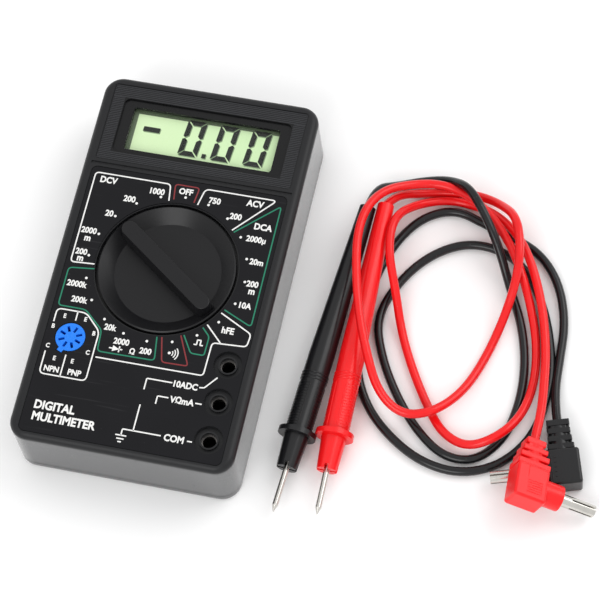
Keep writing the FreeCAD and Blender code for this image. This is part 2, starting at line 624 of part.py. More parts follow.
def board_parts():
    """What is soldered to the back of the board."""
    ball = doc.addObject("Part::Sphere", "BlobBall")
    blob_ball = "(blob_radius ^ 2 + blob_height ^ 2) / (2 * blob_height)"
    bind(ball, Radius=blob_ball, y="blob_y",
         z=f"board_low + {blob_ball} - blob_height")
    dome = doc.addObject("Part::Common", "Blob")
    dome.Base = ball
    dome.Tool = box("30", "30", "blob_height + 1", y="blob_y",
                    z="board_low - blob_height - 1")
    node(dome, "chip_blob")
    along = V(1, 0, 0)
    ends = [laid_rod("fuse_radius", "5", along, f"fuse_x - fuse_long / 2 + {shift}",
                     "fuse_y", "fuse_z") for shift in (0, 15)]
    glass = laid_rod("fuse_radius - 0.3", "fuse_long - 2", along,
                     "fuse_x - fuse_long / 2 + 1", "fuse_y", "fuse_z")
    node(fuse(glass, *ends), "fuse")
    clips = []
    for shift in (-7.5, 7.5):
        saddle = box("4", "2 * fuse_radius + 2", "board_low - fuse_z + 1",
                     f"fuse_x + {shift}", "fuse_y", "fuse_z - 1")
        seat = laid_rod("fuse_radius + 0.05", "6", along, f"fuse_x + {shift} - 3",
                        "fuse_y", "fuse_z")
        clips.append(cut(saddle, seat, box("6", "2 * fuse_radius - 0.4", "8",
                                           f"fuse_x + {shift}", "fuse_y", "fuse_z - 8")))
    node(group(*clips), "fuse_clips")
    node(rod("buzzer_radius", "board_low - buzzer_low", "buzzer_x", "buzzer_y",
             "buzzer_low"), "buzzer")
    trimmer = cut(box("trimmer_side", "trimmer_side", "trimmer_high", "-20", "24",
                      "board_low - trimmer_high"),
                  box("3", "0.8", "1.6", "-20", "24",
                      "board_low - 1 - trimmer_high"))
    node(trimmer, "trimmer")
    resistors = []
    for column in range(3):
        for line in range(3):
            x = 10 + 7.4 * column
            y = 12 - 9 * line
            body = laid_rod("1.15", "6", V(0, 1, 0), str(x), str(y), "10.4")
            legs = [rod("0.3", "1.6", str(x), f"{y} + {shift}", "10.4")
                    for shift in (0.4, 5.6)]
            resistors.append(fuse(body, *legs))
    node(group(*resistors), "resistors")
    caps = [box("9", "4", "7", "-20", str(y), "board_low - 7", corner=0.6)
            for y in (12, 4, -6)]
    node(group(*caps), "capacitors")
    tube_node("shunt_wire", [(30.6, -33.0, 11.9), (30.6, -33.6, 6.2), (30.3, -41.0, 5.0),
                             (30.6, -48.4, 6.2), (30.6, -49.0, 11.9)], 1.5)


# ---------------------------------------------------------------- battery

def battery():
    across = "battery_y + battery_wide / 2"
    up = "battery_z + battery_high / 2"
    block = box("battery_long", "battery_wide", "battery_high",
                "battery_x + battery_long / 2", across, "battery_z",
                corner=SIZES["battery_edge"])
    end = "battery_x + battery_long"
    along = V(1, 0, 0)
    studs = [laid_rod("terminal_radius", "terminal_long + 1", along, f"{end} - 1",
                      f"{across} + {side} * terminal_spread", up) for side in (-1, 1)]
    node(fuse(block, *studs), "battery")
    cap = box("snap_thick", "battery_wide - 0.6", "15", f"{end} + 0.1 + snap_thick / 2",
              across, "battery_z + 1.2", corner=1.0)
    cups = [laid_rod("terminal_radius + 0.3", "terminal_long + 0.2", along, end,
                     f"{across} + {side} * terminal_spread", up) for side in (-1, 1)]
    node(cut(cap, *cups), "battery_snap")
    edge = SIZES["battery_y"] + SIZES["battery_wide"] - 0.3
    for name, x, z in (("red", 16.6, 8.0), ("black", 18.2, 5.0)):
        tube_node("battery_wire_" + name,
                  [(x, edge, z), (x, edge + 5.0, z), (x - 1.0, edge + 9.5, z + 0.6),
                   (x - 1.0, edge + 9.5, SIZES["board_low"])], 1.2)


# ---------------------------------------------------------------- test leads

def lead(colour):
    collar, along = PROBES[colour]
    handle_shape = [("tip_bore", "-nose_long"), ("nose_radius", "-nose_long"),
                    ("nose_root", "-collar_half"), ("collar_radius", "-collar_half"),
                    ("collar_radius", "collar_half"), ("grip_radius", "collar_half"),
                    ("grip_radius", "grip_long"), ("tail_radius", "handle_long"),
                    ("0", "handle_long"), ("0", "-tip_seat"), ("tip_bore", "-tip_seat")]
    handle = turned("Handle", handle_shape)
    notches = [box(a, b, "notch_deep + 1", z="-nose_long - 1")
               for a, b in (("20", "notch_width"), ("notch_width", "20"))]
    whole = cut(handle, *notches)
    lay = FreeCAD.Placement(collar, FreeCAD.Rotation(V(0, 0, 1), along))
    whole.Placement = lay
    node(whole, colour + "_probe_handle")
    point = turned("Tip", [("0", "-tip_long"), ("tip_radius", "-tip_shoulder"),
                           ("tip_radius", "-tip_seat"), ("0", "-tip_seat")])
    point.Placement = lay
    node(point, colour + "_probe_tip")

    middle, pin_way, cable_way = PLUGS[colour]
    turn = FreeCAD.Rotation(pin_way, cable_way, V(0, 0, 0), "XYZ")
    lie = FreeCAD.Placement(middle, turn)
    block = box("plug_wide", "plug_long", "plug_thick", z="-plug_thick / 2")
    doc.recompute()
    block = rounded(block, range(1, 13), SIZES["plug_edge"])
    shroud = laid_rod("shroud_radius * 0.92", "shroud_long + 1", V(1, 0, 0),
                      "plug_wide / 2 - 1")
    relief = doc.addObject("Part::Cone", "Relief")
    bind(relief, Radius1="relief_root", Radius2="relief_end", Height="relief_long + 1",
         y="plug_long / 2 - 1")
    relief.Placement.Rotation = FreeCAD.Rotation(V(0, 0, 1), V(0, 1, 0))
    bore = laid_rod("shroud_bore", "pin_seat + 1", V(1, 0, 0),
                    "plug_wide / 2 + shroud_long - pin_seat")
    body = cut(fuse(block, shroud, relief), bore)
    body.Placement = lie
    node(body, colour + "_plug")
    pin = laid_rod("pin_radius", "pin_seat + pin_long", V(1, 0, 0),
                   "plug_wide / 2 + shroud_long - pin_seat")
    slits = [box("pin_slot_long", a, b, "plug_wide / 2 + shroud_long + pin_long - 4",
                 "0", c) for a, b, c in (("pin_slot", "20", "-10"), ("20", "pin_slot", "-pin_slot / 2"))]
    prong = cut(pin, *slits)
    prong.Placement = lie
    node(prong, colour + "_plug_pin")
    tube_node(colour + "_cable", ROUTES[colour], SIZES["cable"])


# ---------------------------------------------------------------- build and export

front_case()
rear_case()
face_label()
display()
dial()
sockets()
circuit_board()
board_parts()
battery()
screws("case_screws", CASE_SCREWS, "screw_head", "screw_head_thick", "screw_core",
       "screw_seat", "screw_tip - screw_seat")
screws("board_screws", BOARD_POSTS, "board_screw_head", "board_screw_thick",
       "board_screw", "board_low", "6.4")
for colour in ROUTES:
    lead(colour)
doc.recompute()

for obj in doc.Objects:
    if "Invalid" in obj.State or "Error" in obj.State:
        raise RuntimeError(f"{obj.Name} ({obj.Label}) failed: {obj.State}")
os.makedirs("parts", exist_ok=True)
for label, obj in nodes.items():
    shape = obj.Shape
    if shape.isNull() or not shape.isValid() or not shape.Solids:
        raise RuntimeError(f"{label} has no valid solid")
    shape.exportStep(f"parts/{label}.step")
print(f"{len(nodes)} sub-parts written")
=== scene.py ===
"""A pocket digital multimeter and its test leads: fine pieces, finishes, stage and camera."""

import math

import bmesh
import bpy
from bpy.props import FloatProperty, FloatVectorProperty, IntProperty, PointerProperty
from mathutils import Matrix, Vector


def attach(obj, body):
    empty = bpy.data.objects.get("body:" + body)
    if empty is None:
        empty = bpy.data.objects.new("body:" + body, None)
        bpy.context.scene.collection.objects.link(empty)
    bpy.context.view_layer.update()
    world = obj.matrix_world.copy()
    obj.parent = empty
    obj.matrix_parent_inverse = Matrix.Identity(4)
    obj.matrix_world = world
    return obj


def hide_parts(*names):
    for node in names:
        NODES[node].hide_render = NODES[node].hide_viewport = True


bl_info = {
    "name": "Digital Multimeter",
    "version": (1, 0, 0),
    "blender": (4, 5, 0),
    "location": "View3D > Sidebar > Multimeter",
    "description": "Dresses a packed multimeter frame with its print, leads and finishes",
    "category": "Add Mesh",
}

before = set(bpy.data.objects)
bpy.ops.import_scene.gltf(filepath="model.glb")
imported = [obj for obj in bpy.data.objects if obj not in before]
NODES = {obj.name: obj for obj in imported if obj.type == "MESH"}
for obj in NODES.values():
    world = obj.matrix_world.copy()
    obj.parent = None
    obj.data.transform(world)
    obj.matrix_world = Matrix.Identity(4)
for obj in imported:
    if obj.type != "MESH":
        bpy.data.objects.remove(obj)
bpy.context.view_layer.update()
MM = 0.001

# ---- places, in millimetres

DIAL_CENTRE = (0.0, -0.5)
LABEL_TOP = 23.95
LCD_TOP = 20.7
RIBBED_FLOOR = 23.65
DIGIT_LEFT = (-7.2, 3.4, 13.9)
DIGIT_BASE = 40.3
# Height and half height of the dark band at the parting line: the line itself and painted
# shade of its groove
SEAM_HEIGHT, SEAM_HALF = 3.2, 0.28
INK_LOW, INK_HIGH = LABEL_TOP - 0.006, LABEL_TOP + 0.018
LINE_WIDTH = 0.42
# The font's capitals as a share of its size, how far words are narrowed and thickened
CAPITAL_SHARE, WORD_WIDTH, WORD_WEIGHT = 0.729, 0.9, 0.035

# The camera: place in millimetres, then angles in degrees and focal length
CAMERA_PLACE = (177.2, -328.3, 767.9)
CAMERA_AZIMUTH, CAMERA_ELEVATION, CAMERA_ROLL = 22.45, 64.7, -10.70
CAMERA_LENS = 162.0

# Where each probe lies (guard collar, direction towards its cable) and each plug lies
# (middle of its body, direction of its pin, direction towards its cable)
PROBES = {
    "black": ((48.8, -39.6, 6.15), (0.0708, 0.9965, 0.045)),
    "red": ((60.1, -37.9, 6.15), (-0.004, 1.0, 0.045)),
}
PLUGS = {
    "black": ((130.2, -35.0, 4.05), (-0.954, -0.3, 0.0), (-0.3, 0.954, 0.0)),
    "red": ((121.1, -45.7, 12.85), (0.905, -0.025, -0.422), (-0.05, 0.985, -0.165)),
}

# Routes of the cables, from the back of the probe handle to the plug
CABLE_ROUTES = {
    "black": [
        (54.32, 38.13, 9.66), (55.0, 46.5, 7.5), (60.4, 51.0, 2.0), (69.0, 54.8, 1.4),
        (77.5, 54.6, 5.5), (84.8, 49.6, 12.6), (91.4, 41.0, 13.0), (97.2, 32.8, 8.8),
        (102.9, 22.3, 1.4), (108.6, 11.2, 1.4), (112.2, -1.5, 1.4), (113.0, -14.5, 1.4),
        (110.8, -27.0, 1.4), (103.5, -36.3, 1.4), (93.5, -36.8, 1.4), (84.0, -30.0, 1.4),
        (75.5, -20.0, 1.4), (68.2, -8.0, 1.4), (63.6, 5.0, 1.4), (68.0, 18.5, 1.4),
        (75.5, 29.0, 1.4), (85.5, 35.4, 1.4), (96.0, 35.6, 1.4), (105.5, 31.0, 1.4),
        (112.5, 21.5, 1.4), (117.5, 10.0, 1.4), (120.6, -2.5, 1.4), (120.8, -15.5, 1.4),
        (118.0, -27.0, 1.4), (110.5, -36.5, 1.4), (99.5, -41.2, 1.4), (87.5, -39.8, 1.4),
        (76.5, -33.8, 1.4), (67.5, -25.5, 1.4), (61.8, -15.0, 1.4), (59.6, -3.0, 1.4),
        (59.6, 9.5, 1.4), (61.2, 22.0, 1.4), (65.0, 33.5, 1.4), (71.5, 42.5, 1.4),
        (81.0, 46.6, 1.4), (91.0, 43.0, 1.4), (100.5, 40.2, 1.4), (110.0, 36.0, 1.4),
        (117.5, 27.0, 1.4), (121.8, 14.0, 1.4), (122.3, 0.5, 1.4), (122.95, -11.4, 2.5),
        (125.48, -19.98, 4.05),
    ],
    "red": [
        (59.79, 40.02, 9.66), (61.5, 46.0, 6.0), (69.0, 50.2, 1.4), (78.5, 52.4, 1.4),
        (87.0, 52.8, 1.4), (94.8, 49.2, 5.0), (101.0, 42.6, 12.0), (104.2, 33.0, 13.0),
        (105.0, 22.5, 9.5), (102.8, 10.5, 2.5), (99.6, -3.0, 1.4), (95.5, -15.5, 4.0),
        (88.5, -25.0, 7.2), (79.0, -28.2, 7.4), (70.5, -23.0, 10.5), (65.0, -12.5, 15.3),
        (60.0, 0.0, 16.3), (56.4, 13.0, 16.5), (54.0, 25.6, 16.3), (54.6, 36.0, 14.8),
        (58.4, 44.4, 11.5), (65.8, 49.6, 8.0), (75.0, 51.8, 7.4), (83.5, 49.6, 7.4),
        (91.0, 45.2, 7.4), (98.9, 37.2, 7.2), (105.2, 27.4, 7.2), (110.6, 16.7, 2.5),
        (114.6, 5.0, 1.4), (116.2, -7.5, 1.4), (114.8, -20.0, 5.0), (109.5, -29.0, 7.2),
        (100.5, -33.4, 4.0), (91.5, -29.3, 1.4), (84.8, -20.5, 1.4), (78.0, -9.5, 1.4),
        (72.3, 2.0, 1.4), (68.6, 12.5, 6.5), (63.9, 24.0, 12.0), (63.4, 35.6, 12.2),
        (68.2, 44.8, 4.0), (77.5, 49.6, 1.4), (86.8, 49.0, 1.4), (95.0, 45.0, 5.0),
        (103.2, 37.8, 7.2), (109.6, 27.3, 7.2), (114.7, 15.1, 4.2), (118.0, 2.0, 4.6),
        (119.6, -10.5, 6.5), (120.6, -21.0, 8.7), (120.31, -30.19, 10.25),
    ],
}
GRIP_RIB_ARCS = {
    "black": ((-50.0, 100.0), (115.0, 145.0)),
    "red": ((-78.0, 140.0), (140.0, 85.0)),
}
# Blocks of each strain relief: place along the cable way, width, length and thickness
RELIEF_STEPS = {
    "red": [(10.2, 4.9, 10.4, 4.9), (6.5, 10.6, 1.9, 7.0), (9.2, 9.4, 1.8, 6.4),
            (11.8, 8.0, 1.7, 5.8), (14.6, 6.2, 2.0, 5.2)],
    "black": [(10.2, 4.9, 10.4, 4.9), (6.7, 8.2, 1.8, 6.6), (9.3, 7.4, 1.8, 6.2),
              (11.9, 7.0, 1.8, 5.8), (14.6, 7.0, 2.0, 5.6)],
}

# Printed lines of the face, by ink: corner radius, then corners
PRINTED_LINES = {
    "white": [
        (1.3, [(-4.9, 22.4), (-5.7, 28.1), (-30.0, 28.1), (-30.0, -3.6), (-22.4, -3.1)]),
        (1.5, [(4.3, 22.6), (5.5, 28.4), (28.4, 28.4), (16.9, 16.0)]),
        (1.2, [(20.2, -12.0), (30.8, -17.3), (30.4, -21.6), (19.8, -22.2), (19.6, -33.3),
               (-14.2, -33.4)]),
        (0.5, [(16.9, -16.6), (22.3, -21.9)]),
        (1.6, [(-29.9, -24.2), (-29.9, -19.7), (-20.6, -19.7), (-15.2, -25.0), (-15.2, -41.7),
               (-29.9, -41.7), (-29.9, -34.2)]),
        (0.5, [(-23.3, -19.7), (-23.3, -22.8)]),
        (0.5, [(-23.3, -34.4), (-23.3, -41.7)]),
        (0.4, [(19.4, -37.3), (20.9, -37.1), (24.1, -33.1)]),
        (0.4, [(11.0, -37.3), (3.0, -37.3), (3.0, -41.0)]),
        (0.4, [(19.4, -42.5), (21.4, -42.5)]),
        (0.4, [(11.0, -42.3), (7.6, -42.3), (7.6, -44.9)]),
        (0.4, [(3.1, -46.0), (3.1, -54.7)]),
        (0.4, [(11.7, -54.7), (-0.2, -54.7), (-0.2, -56.8)]),
        (0.4, [(19.9, -54.9), (21.4, -54.9)]),
        (0.2, [(-1.9, -56.8), (1.5, -56.8)]),
        (0.2, [(-1.35, -57.9), (0.95, -57.9)]),
        (0.2, [(-0.75, -58.9), (0.35, -58.9)]),
        (0.1, [(14.3, -23.7), (15.2, -23.7), (15.2, -22.1), (16.3, -22.1), (16.3, -23.7),
               (17.2, -23.7)]),
        (0.1, [(-10.9, -29.6), (-6.7, -29.6)]),
        (0.1, [(-7.7, -28.6), (-7.7, -30.6)]),
    ],
    "red": [
        (1.1, [(-3.5, 23.1), (-4.2, 28.4), (3.6, 28.4), (3.0, 23.1)]),
        (1.1, [(4.2, -23.2), (6.1, -31.3), (14.3, -31.1), (9.8, -21.6)]),
    ],
    "green": [
        (1.4, [(17.6, 15.4), (30.2, 26.8), (30.2, -14.9), (20.9, -10.8)]),
        (1.3, [(-22.0, -4.7), (-30.0, -5.6), (-30.0, -18.6), (-21.2, -18.6), (-14.6, -24.4),
               (-14.2, -31.4), (3.8, -31.2), (2.7, -23.4)]),
        (0.9, [(10.7, -21.3), (14.1, -26.8), (18.3, -26.8), (18.4, -20.4), (15.8, -17.8)]),
    ],
}

# Printed words and numbers: text, middle, capital height
PRINTED_WORDS = [
    ("DCV", -25.2, 26.0, 2.15), ("1000", -9.2, 24.9, 2.05), ("200", -17.2, 20.8, 2.05),
    ("20", -22.2, 14.8, 2.05), ("2000", -27.0, 7.9, 2.0), ("m", -26.8, 5.0, 2.2),
    ("200", -27.5, 0.4, 2.0), ("m", -27.3, -2.1, 2.2), ("OFF", -0.3, 26.4, 2.05),
    ("750", 9.3, 24.9, 2.05), ("200", 17.0, 20.8, 2.05), ("ACV", 22.0, 26.2, 2.15),
    ("DCA", 26.3, 18.7, 2.15), ("2000µ", 25.0, 14.0, 2.0), ("20m", 26.9, 6.7, 2.0),
    ("200", 27.4, -0.8, 2.0), ("m", 27.7, -3.5, 2.2), ("10A", 26.9, -8.3, 2.0),
    ("hFE", 23.6, -17.4, 2.15), ("2000k", -26.0, -10.6, 2.0), ("200k", -23.9, -15.7, 2.0),
    ("20k", -12.1, -23.0, 2.0), ("2000", -7.6, -27.0, 2.0), ("Ω", -3.6, -29.5, 1.9),
    ("200", 0.4, -28.7, 2.0), ("E", -26.9, -21.8, 1.45), ("E", -20.3, -21.8, 1.45),
    ("B", -29.6, -25.7, 1.45), ("B", -16.6, -25.9, 1.45), ("C", -29.6, -32.3, 1.45),
    ("C", -16.9, -32.4, 1.45), ("E", -26.5, -36.1, 1.45), ("E", -20.8, -36.1, 1.45),
    ("NPN", -26.5, -39.7, 1.9), ("PNP", -19.2, -39.7, 1.9), ("10ADC", 15.2, -37.4, 2.05),
    ("VΩmA", 15.3, -42.5, 2.1), ("COM", 15.8, -54.9, 2.2),
    ("DIGITAL", -22.2, -51.7, 2.75), ("MULTIMETER", -18.4, -55.5, 2.75),
]

# ---- sizes and colours to change


def tint_of(name, description, default):
    return FloatVectorProperty(name=name, description=description, default=default,
                               subtype="COLOR", size=3, min=0, max=1)


def size_of(name, description, millimetres):
    return FloatProperty(name=name, description=description, default=millimetres * MM,
                         subtype="DISTANCE", unit="LENGTH")


class FacePrintSettings(bpy.types.PropertyGroup):
    """Colours of the printing inks."""
    white: tint_of("White ink", "Ink of the numbers and the main lines", (0.86, 0.86, 0.84))
    red: tint_of("Red ink", "Ink round the off and buzzer places", (0.22, 0.018, 0.022))
    green: tint_of("Green ink", "Ink round the resistance and current ranges",
                   (0.006, 0.20, 0.11))
    dots: IntProperty(name="Dial places", description="Number of dots round the dial",
                      default=20, min=4, max=40)
    dot_circle: size_of("Dot circle", "Radius of the ring of dots", 24.9)


class CaseSettings(bpy.types.PropertyGroup):
    """Case colour and the ribs round the display."""
    plastic: tint_of("Case plastic", "Colour of the moulded case", (0.011, 0.0113, 0.0125))
    rib_pitch: size_of("Rib pitch", "Step between the display ribs", 0.62)
    rib_radius: size_of("Rib radius", "Radius of one display rib", 0.19)


class LeadSettings(bpy.types.PropertyGroup):
    """Colours and thickness of the test leads."""
    red: tint_of("Red", "Colour of the red lead", (0.83, 0.006, 0.008))
    black: tint_of("Black", "Colour of the black lead", (0.006, 0.006, 0.007))
    thickness: size_of("Cable diameter", "Outside of the insulation", 2.8)


class StageSettings(bpy.types.PropertyGroup):
    """Floor and light."""
    floor: tint_of("Floor", "Colour of the floor", (0.96, 0.96, 0.96))
    daylight: FloatProperty(name="Daylight", description="Strength of the light all round",
                            default=0.90, min=0, max=5)


# ---- node trees as expressions


class Signal:
    """One node's output, so that sums on values can be written as Python expressions."""

    def __init__(self, graph, socket):
        self.graph = graph
        self.socket = socket

    def __add__(self, other):
        return self.graph.maths("ADD", self, other)

    __radd__ = __add__

    def __sub__(self, other):
        return self.graph.maths("SUBTRACT", self, other)

    def __rsub__(self, other):
        return self.graph.maths("SUBTRACT", other, self)

    def __mul__(self, other):
        return self.graph.maths("MULTIPLY", self, other)

    __rmul__ = __mul__

    def __gt__(self, other):
        return self.graph.maths("GREATER_THAN", self, other)

    def __lt__(self, other):
        return self.graph.maths("LESS_THAN", self, other)


class Graph:
    """A node tree that grows by one node a call."""

    def __init__(self, tree):
        self.tree = tree

    def put(self, socket, value):
        if isinstance(value, Signal):
            self.tree.links.new(value.socket, socket)
        else:
            socket.default_value = value

    def node(self, kind, settings=None, inputs=None, output=0):
        """A node of a type: its settings first, then the values or links of its sockets."""
        made = self.tree.nodes.new(kind)
        for name, value in (settings or {}).items():
            if name == "stops":
                self.set_stops(made.color_ramp, value)
            else:
                setattr(made, name, value)
        for key, value in (inputs or {}).items():
            self.put(made.inputs[key], value)
        return Signal(self, made.outputs[output])

    def set_stops(self, ramp, stops):
        while len(ramp.elements) < len(stops):
            ramp.elements.new(0.5)
        for element, (place, grey) in zip(ramp.elements, stops):
            element.position = place
            element.color = (grey, grey, grey, 1.0)

    def maths(self, operation, first, second=0.0):
        return self.node("ShaderNodeMath", {"operation": operation}, {0: first, 1: second})


class Finish(Graph):
    """A material of one principled shader, with patterns in the piece's own coordinates."""

    def __init__(self, name, **constants):
        self.material = bpy.data.materials.new(name)
        self.material.use_nodes = True
        super().__init__(self.material.node_tree)
        self.tree.nodes.clear()
        self.shader = self.tree.nodes.new("ShaderNodeBsdfPrincipled")
        outlet = self.tree.nodes.new("ShaderNodeOutputMaterial")
        self.tree.links.new(self.shader.outputs[0], outlet.inputs["Surface"])
        for key, value in constants.items():
            self.shader.inputs[key.replace("_", " ")].default_value = value
        self.place = self.node("ShaderNodeTexCoord", output="Object")

    def stretched(self, scale, turn=(0.0, 0.0, 0.0)):
        return self.node("ShaderNodeMapping", None,
                         {"Vector": self.place, "Rotation": turn, "Scale": scale})

    def noise(self, scale, detail=2.0, rough=0.5, vector=None):
        return self.node("ShaderNodeTexNoise", None,
                         {"Vector": vector or self.place, "Scale": scale, "Detail": detail,
                          "Roughness": rough})

    def cells(self, scale):
        return self.node("ShaderNodeTexVoronoi", None,
                         {"Vector": self.place, "Scale": scale}, output="Distance")

    def bands(self, scale, axis):
        return self.node("ShaderNodeTexWave", {"bands_direction": axis},
                         {"Vector": self.place, "Scale": scale}, output="Fac")

    def ramp(self, value, *stops):
        return self.node("ShaderNodeValToRGB", {"stops": stops}, {"Fac": value})

    def axis(self, name):
        return self.node("ShaderNodeSeparateXYZ", None, {0: self.place}, output=name)

    def fade(self, axis, none, full):
        """0 at one place along an axis, rising to 1 at another, in millimetres."""
        return self.node("ShaderNodeMapRange", None, {
            "Value": self.axis(axis), "From Min": none * MM, "From Max": full * MM})

    def patch(self, middle, reach):
        """1 inside a rectangle of the face, 0 outside it."""
        across = self.maths("ABSOLUTE", self.axis("X") - middle[0] * MM) < reach[0] * MM
        along = self.maths("ABSOLUTE", self.axis("Y") - middle[1] * MM) < reach[1] * MM
        return across * along

    def mix(self, share, first, second):
        """A colour between two, the second where share is 1."""
        colours = [c if isinstance(c, Signal) else (*c, 1.0) for c in (first, second)]
        return self.node("ShaderNodeMix", {"data_type": "RGBA"},
                         {0: share, 6: colours[0], 7: colours[1]}, output=2)

    def bump(self, height, depth, strength=1.0, under=None):
        inputs = {"Height": height, "Distance": depth, "Strength": strength}
        if under is not None:
            inputs["Normal"] = under
        return self.node("ShaderNodeBump", None, inputs)

    def done(self, colour, rough, relief=None, **varying):
        varying |= {"Base_Color": colour, "Roughness": rough}
        if relief is not None:
            varying["Normal"] = relief
        for key, value in varying.items():
            self.put(self.shader.inputs[key.replace("_", " ")], value)
        return self.material


def shade(colour, factor):
    return tuple(min(1.0, channel * factor) for channel in colour)


# ---- finishes


def moulded_plastic(name, colour, gloss, grain=2600.0, depth=0.00002, mottle=0.12,
                    scuffs=0.25, coat=0.0, sheen=0.3, pale=None,
                    polished=None, walls_painted_lighter_below=None):
    """Moulded plastic: fine spark grain, faint mottling, and paler fine scuffs."""
    skin = Finish(name, Coat_Weight=coat, Coat_Roughness=0.12, IOR=1.5,
                  Specular_IOR_Level=sheen)
    fine = skin.noise(grain, 2.0, 0.6)
    broad = skin.noise(55.0, 3.0, 0.55)
    scratch = skin.noise(900.0, 1.0, 0.5, skin.stretched((1.0, 0.06, 1.0), (0.0, 0.0, 0.5)))
    scuff = skin.ramp(scratch, (0.66, 0.0), (0.74, 1.0))
    worn = skin.ramp(skin.noise(38.0, 2.0), (0.5, 0.0), (0.7, 1.0)) * scuff
    body = skin.mix(broad, shade(colour, 1.0 - mottle), shade(colour, 1.0 + mottle))
    speckled = skin.mix(skin.ramp(fine, (0.45, 0.0), (0.8, 0.35)), body,
                        pale or shade(colour, 1.9))
    surface = skin.mix(worn * scuffs, speckled, pale or shade(colour, 3.0))
    rough = (fine - 0.5) * 0.12 + (broad - 0.5) * 0.1 + worn * 0.1 + gloss
    relief = fine
    if walls_painted_lighter_below is not None:
        # Below this height the walls are painted 2.4 times lighter than the top: painted
        # light. The same mask gives them a coat and less roughness.
        wall = skin.fade("Z", walls_painted_lighter_below + 1.6, walls_painted_lighter_below)
        surface = skin.mix(wall, surface, shade(colour, 2.4))
        rough = rough - wall * 0.1
        # Dark band at the parting line: the line itself and painted shade of its groove, which
        # has no geometry here.
        seam_and_painted_shade = skin.maths("ABSOLUTE", skin.axis("Z") - SEAM_HEIGHT * MM) < SEAM_HALF * MM
        surface = skin.mix(seam_and_painted_shade, surface, shade(colour, 0.4))
        skin.put(skin.shader.inputs["Coat Weight"], wall * (1.0 - seam_and_painted_shade) * 0.9)
    if polished:
        inside = skin.patch(*polished)
        surface = skin.mix(inside, surface, shade(colour, 0.45))
        rough = rough - inside * 0.12
        relief = fine * (1.0 - inside)
    return skin.done(surface, rough, skin.bump(relief, depth, 0.6))


def label_film(name, colour):
    """Printed overlay: almost black, satin, with dust, fine rubbing and a soft mottle."""
    film = Finish(name, IOR=1.46, Specular_IOR_Level=0.2)
    broad = film.noise(70.0, 3.0)
    fine = film.noise(4200.0, 1.0)
    dust = film.ramp(film.cells(420.0), (0.035, 1.0), (0.06, 0.0))
    sparse = film.ramp(film.noise(160.0, 1.0), (0.58, 0.0), (0.66, 1.0))
    speck = dust * sparse
    rub = film.ramp(film.noise(1100.0, 1.0, 0.5, film.stretched((0.05, 1.0, 1.0),
                                                                (0.0, 0.0, 0.9))),
                    (0.68, 0.0), (0.76, 1.0))
    base = film.mix(broad, shade(colour, 0.85), shade(colour, 1.2))
    marked = film.mix(rub * 0.07 + speck * 0.6, base, (0.12, 0.12, 0.125))
    rough = 0.36 + (broad - 0.5) * 0.12 + rub * 0.12 + speck * 0.2
    return film.done(marked, rough, film.bump(fine * 0.5 + speck, 0.00001, 0.4))


def printing_ink(name, colour):
    """Screen-printed ink: slightly uneven cover and a soft sheen."""
    ink = Finish(name, IOR=1.48)
    cover = ink.noise(1800.0, 2.0, 0.6)
    tone = ink.mix(ink.ramp(cover, (0.3, 0.0), (0.6, 1.0)), shade(colour, 0.82), colour)
    return ink.done(tone, 0.42 + (cover - 0.5) * 0.2, ink.bump(cover, 0.00001, 0.5))


def worn_metal(name, colour, gloss, grain=(1.0, 1.0, 0.08)):
    """Plated metal: drawn lines along one way, smudges and small dull spots."""
    metal = Finish(name, Metallic=1.0)
    lines = metal.noise(5200.0, 2.0, 0.6, metal.stretched(grain))
    smudge = metal.noise(190.0, 3.0, 0.6)
    spots = metal.ramp(metal.cells(900.0), (0.08, 1.0), (0.2, 0.0))
    tone = metal.mix(smudge, shade(colour, 0.82), shade(colour, 1.1))
    spotted = metal.mix(spots * 0.25, tone, shade(colour, 0.45))
    rough = gloss + (lines - 0.5) * 0.16 + (smudge - 0.5) * 0.2 + spots * 0.15
    return metal.done(spotted, rough, metal.bump(lines, 0.000008, 0.4))


def sleeve_with_painted_bore_shade(name):
    """Plated jack sleeve: bright at its lip, dark and dull deeper down, where the darkness is
    painted shade of the bore.
    """
    sleeve = Finish(name, Metallic=1.0)
    grime = sleeve.noise(700.0, 3.0, 0.6)
    # Below the lip the sleeve fades to near-black: painted shade deep in the bore.
    lip = sleeve.fade("Z", 18.8, 21.4)
    dark = sleeve.mix(grime, (0.010, 0.010, 0.010), (0.030, 0.029, 0.027))
    return sleeve.done(sleeve.mix(lip, dark, (0.22, 0.21, 0.20)),
                       0.3 + grime * 0.2,
                       sleeve.bump(grime, 0.00003, 0.4))


def soft_pvc(name, colour, gloss=0.2):
    """Glossy soft insulation: slight waviness, dust and faint drag lines."""
    pvc = Finish(name, IOR=1.53, Specular_IOR_Level=0.32, Coat_Weight=0.08,
                 Coat_Roughness=0.08)
    wave = pvc.noise(420.0, 2.0, 0.5)
    fine = pvc.noise(3600.0, 2.0, 0.6)
    broad = pvc.noise(45.0, 2.0)
    dust = pvc.ramp(pvc.cells(650.0), (0.05, 1.0), (0.09, 0.0))
    tone = pvc.mix(broad, shade(colour, 0.86), shade(colour, 1.08))
    dusty = pvc.mix(dust * 0.12, tone, (0.5, 0.48, 0.47))
    rough = gloss + (fine - 0.5) * 0.1 + (broad - 0.5) * 0.12 + dust * 0.2
    return pvc.done(dusty, rough, pvc.bump(wave + fine * 0.15, 0.00006, 0.5))


def clear_window(name):
    """Clear window: lets nearly all light through, with a thin sheen, smears and hairlines."""
    clear = Finish(name, Metallic=1.0)
    hair = clear.noise(1500.0, 1.0, 0.5, clear.stretched((0.03, 1.0, 1.0), (0.0, 0.0, 0.4)))
    smear = clear.noise(90.0, 3.0)
    line = clear.ramp(hair, (0.72, 0.0), (0.78, 1.0))
    return clear.done(clear.mix(smear, (0.92, 0.95, 0.93), (1.0, 1.0, 1.0)),
                      0.02 + smear * 0.04 + line * 0.2,
                      Alpha=0.010 + smear * 0.012 + line * 0.02)


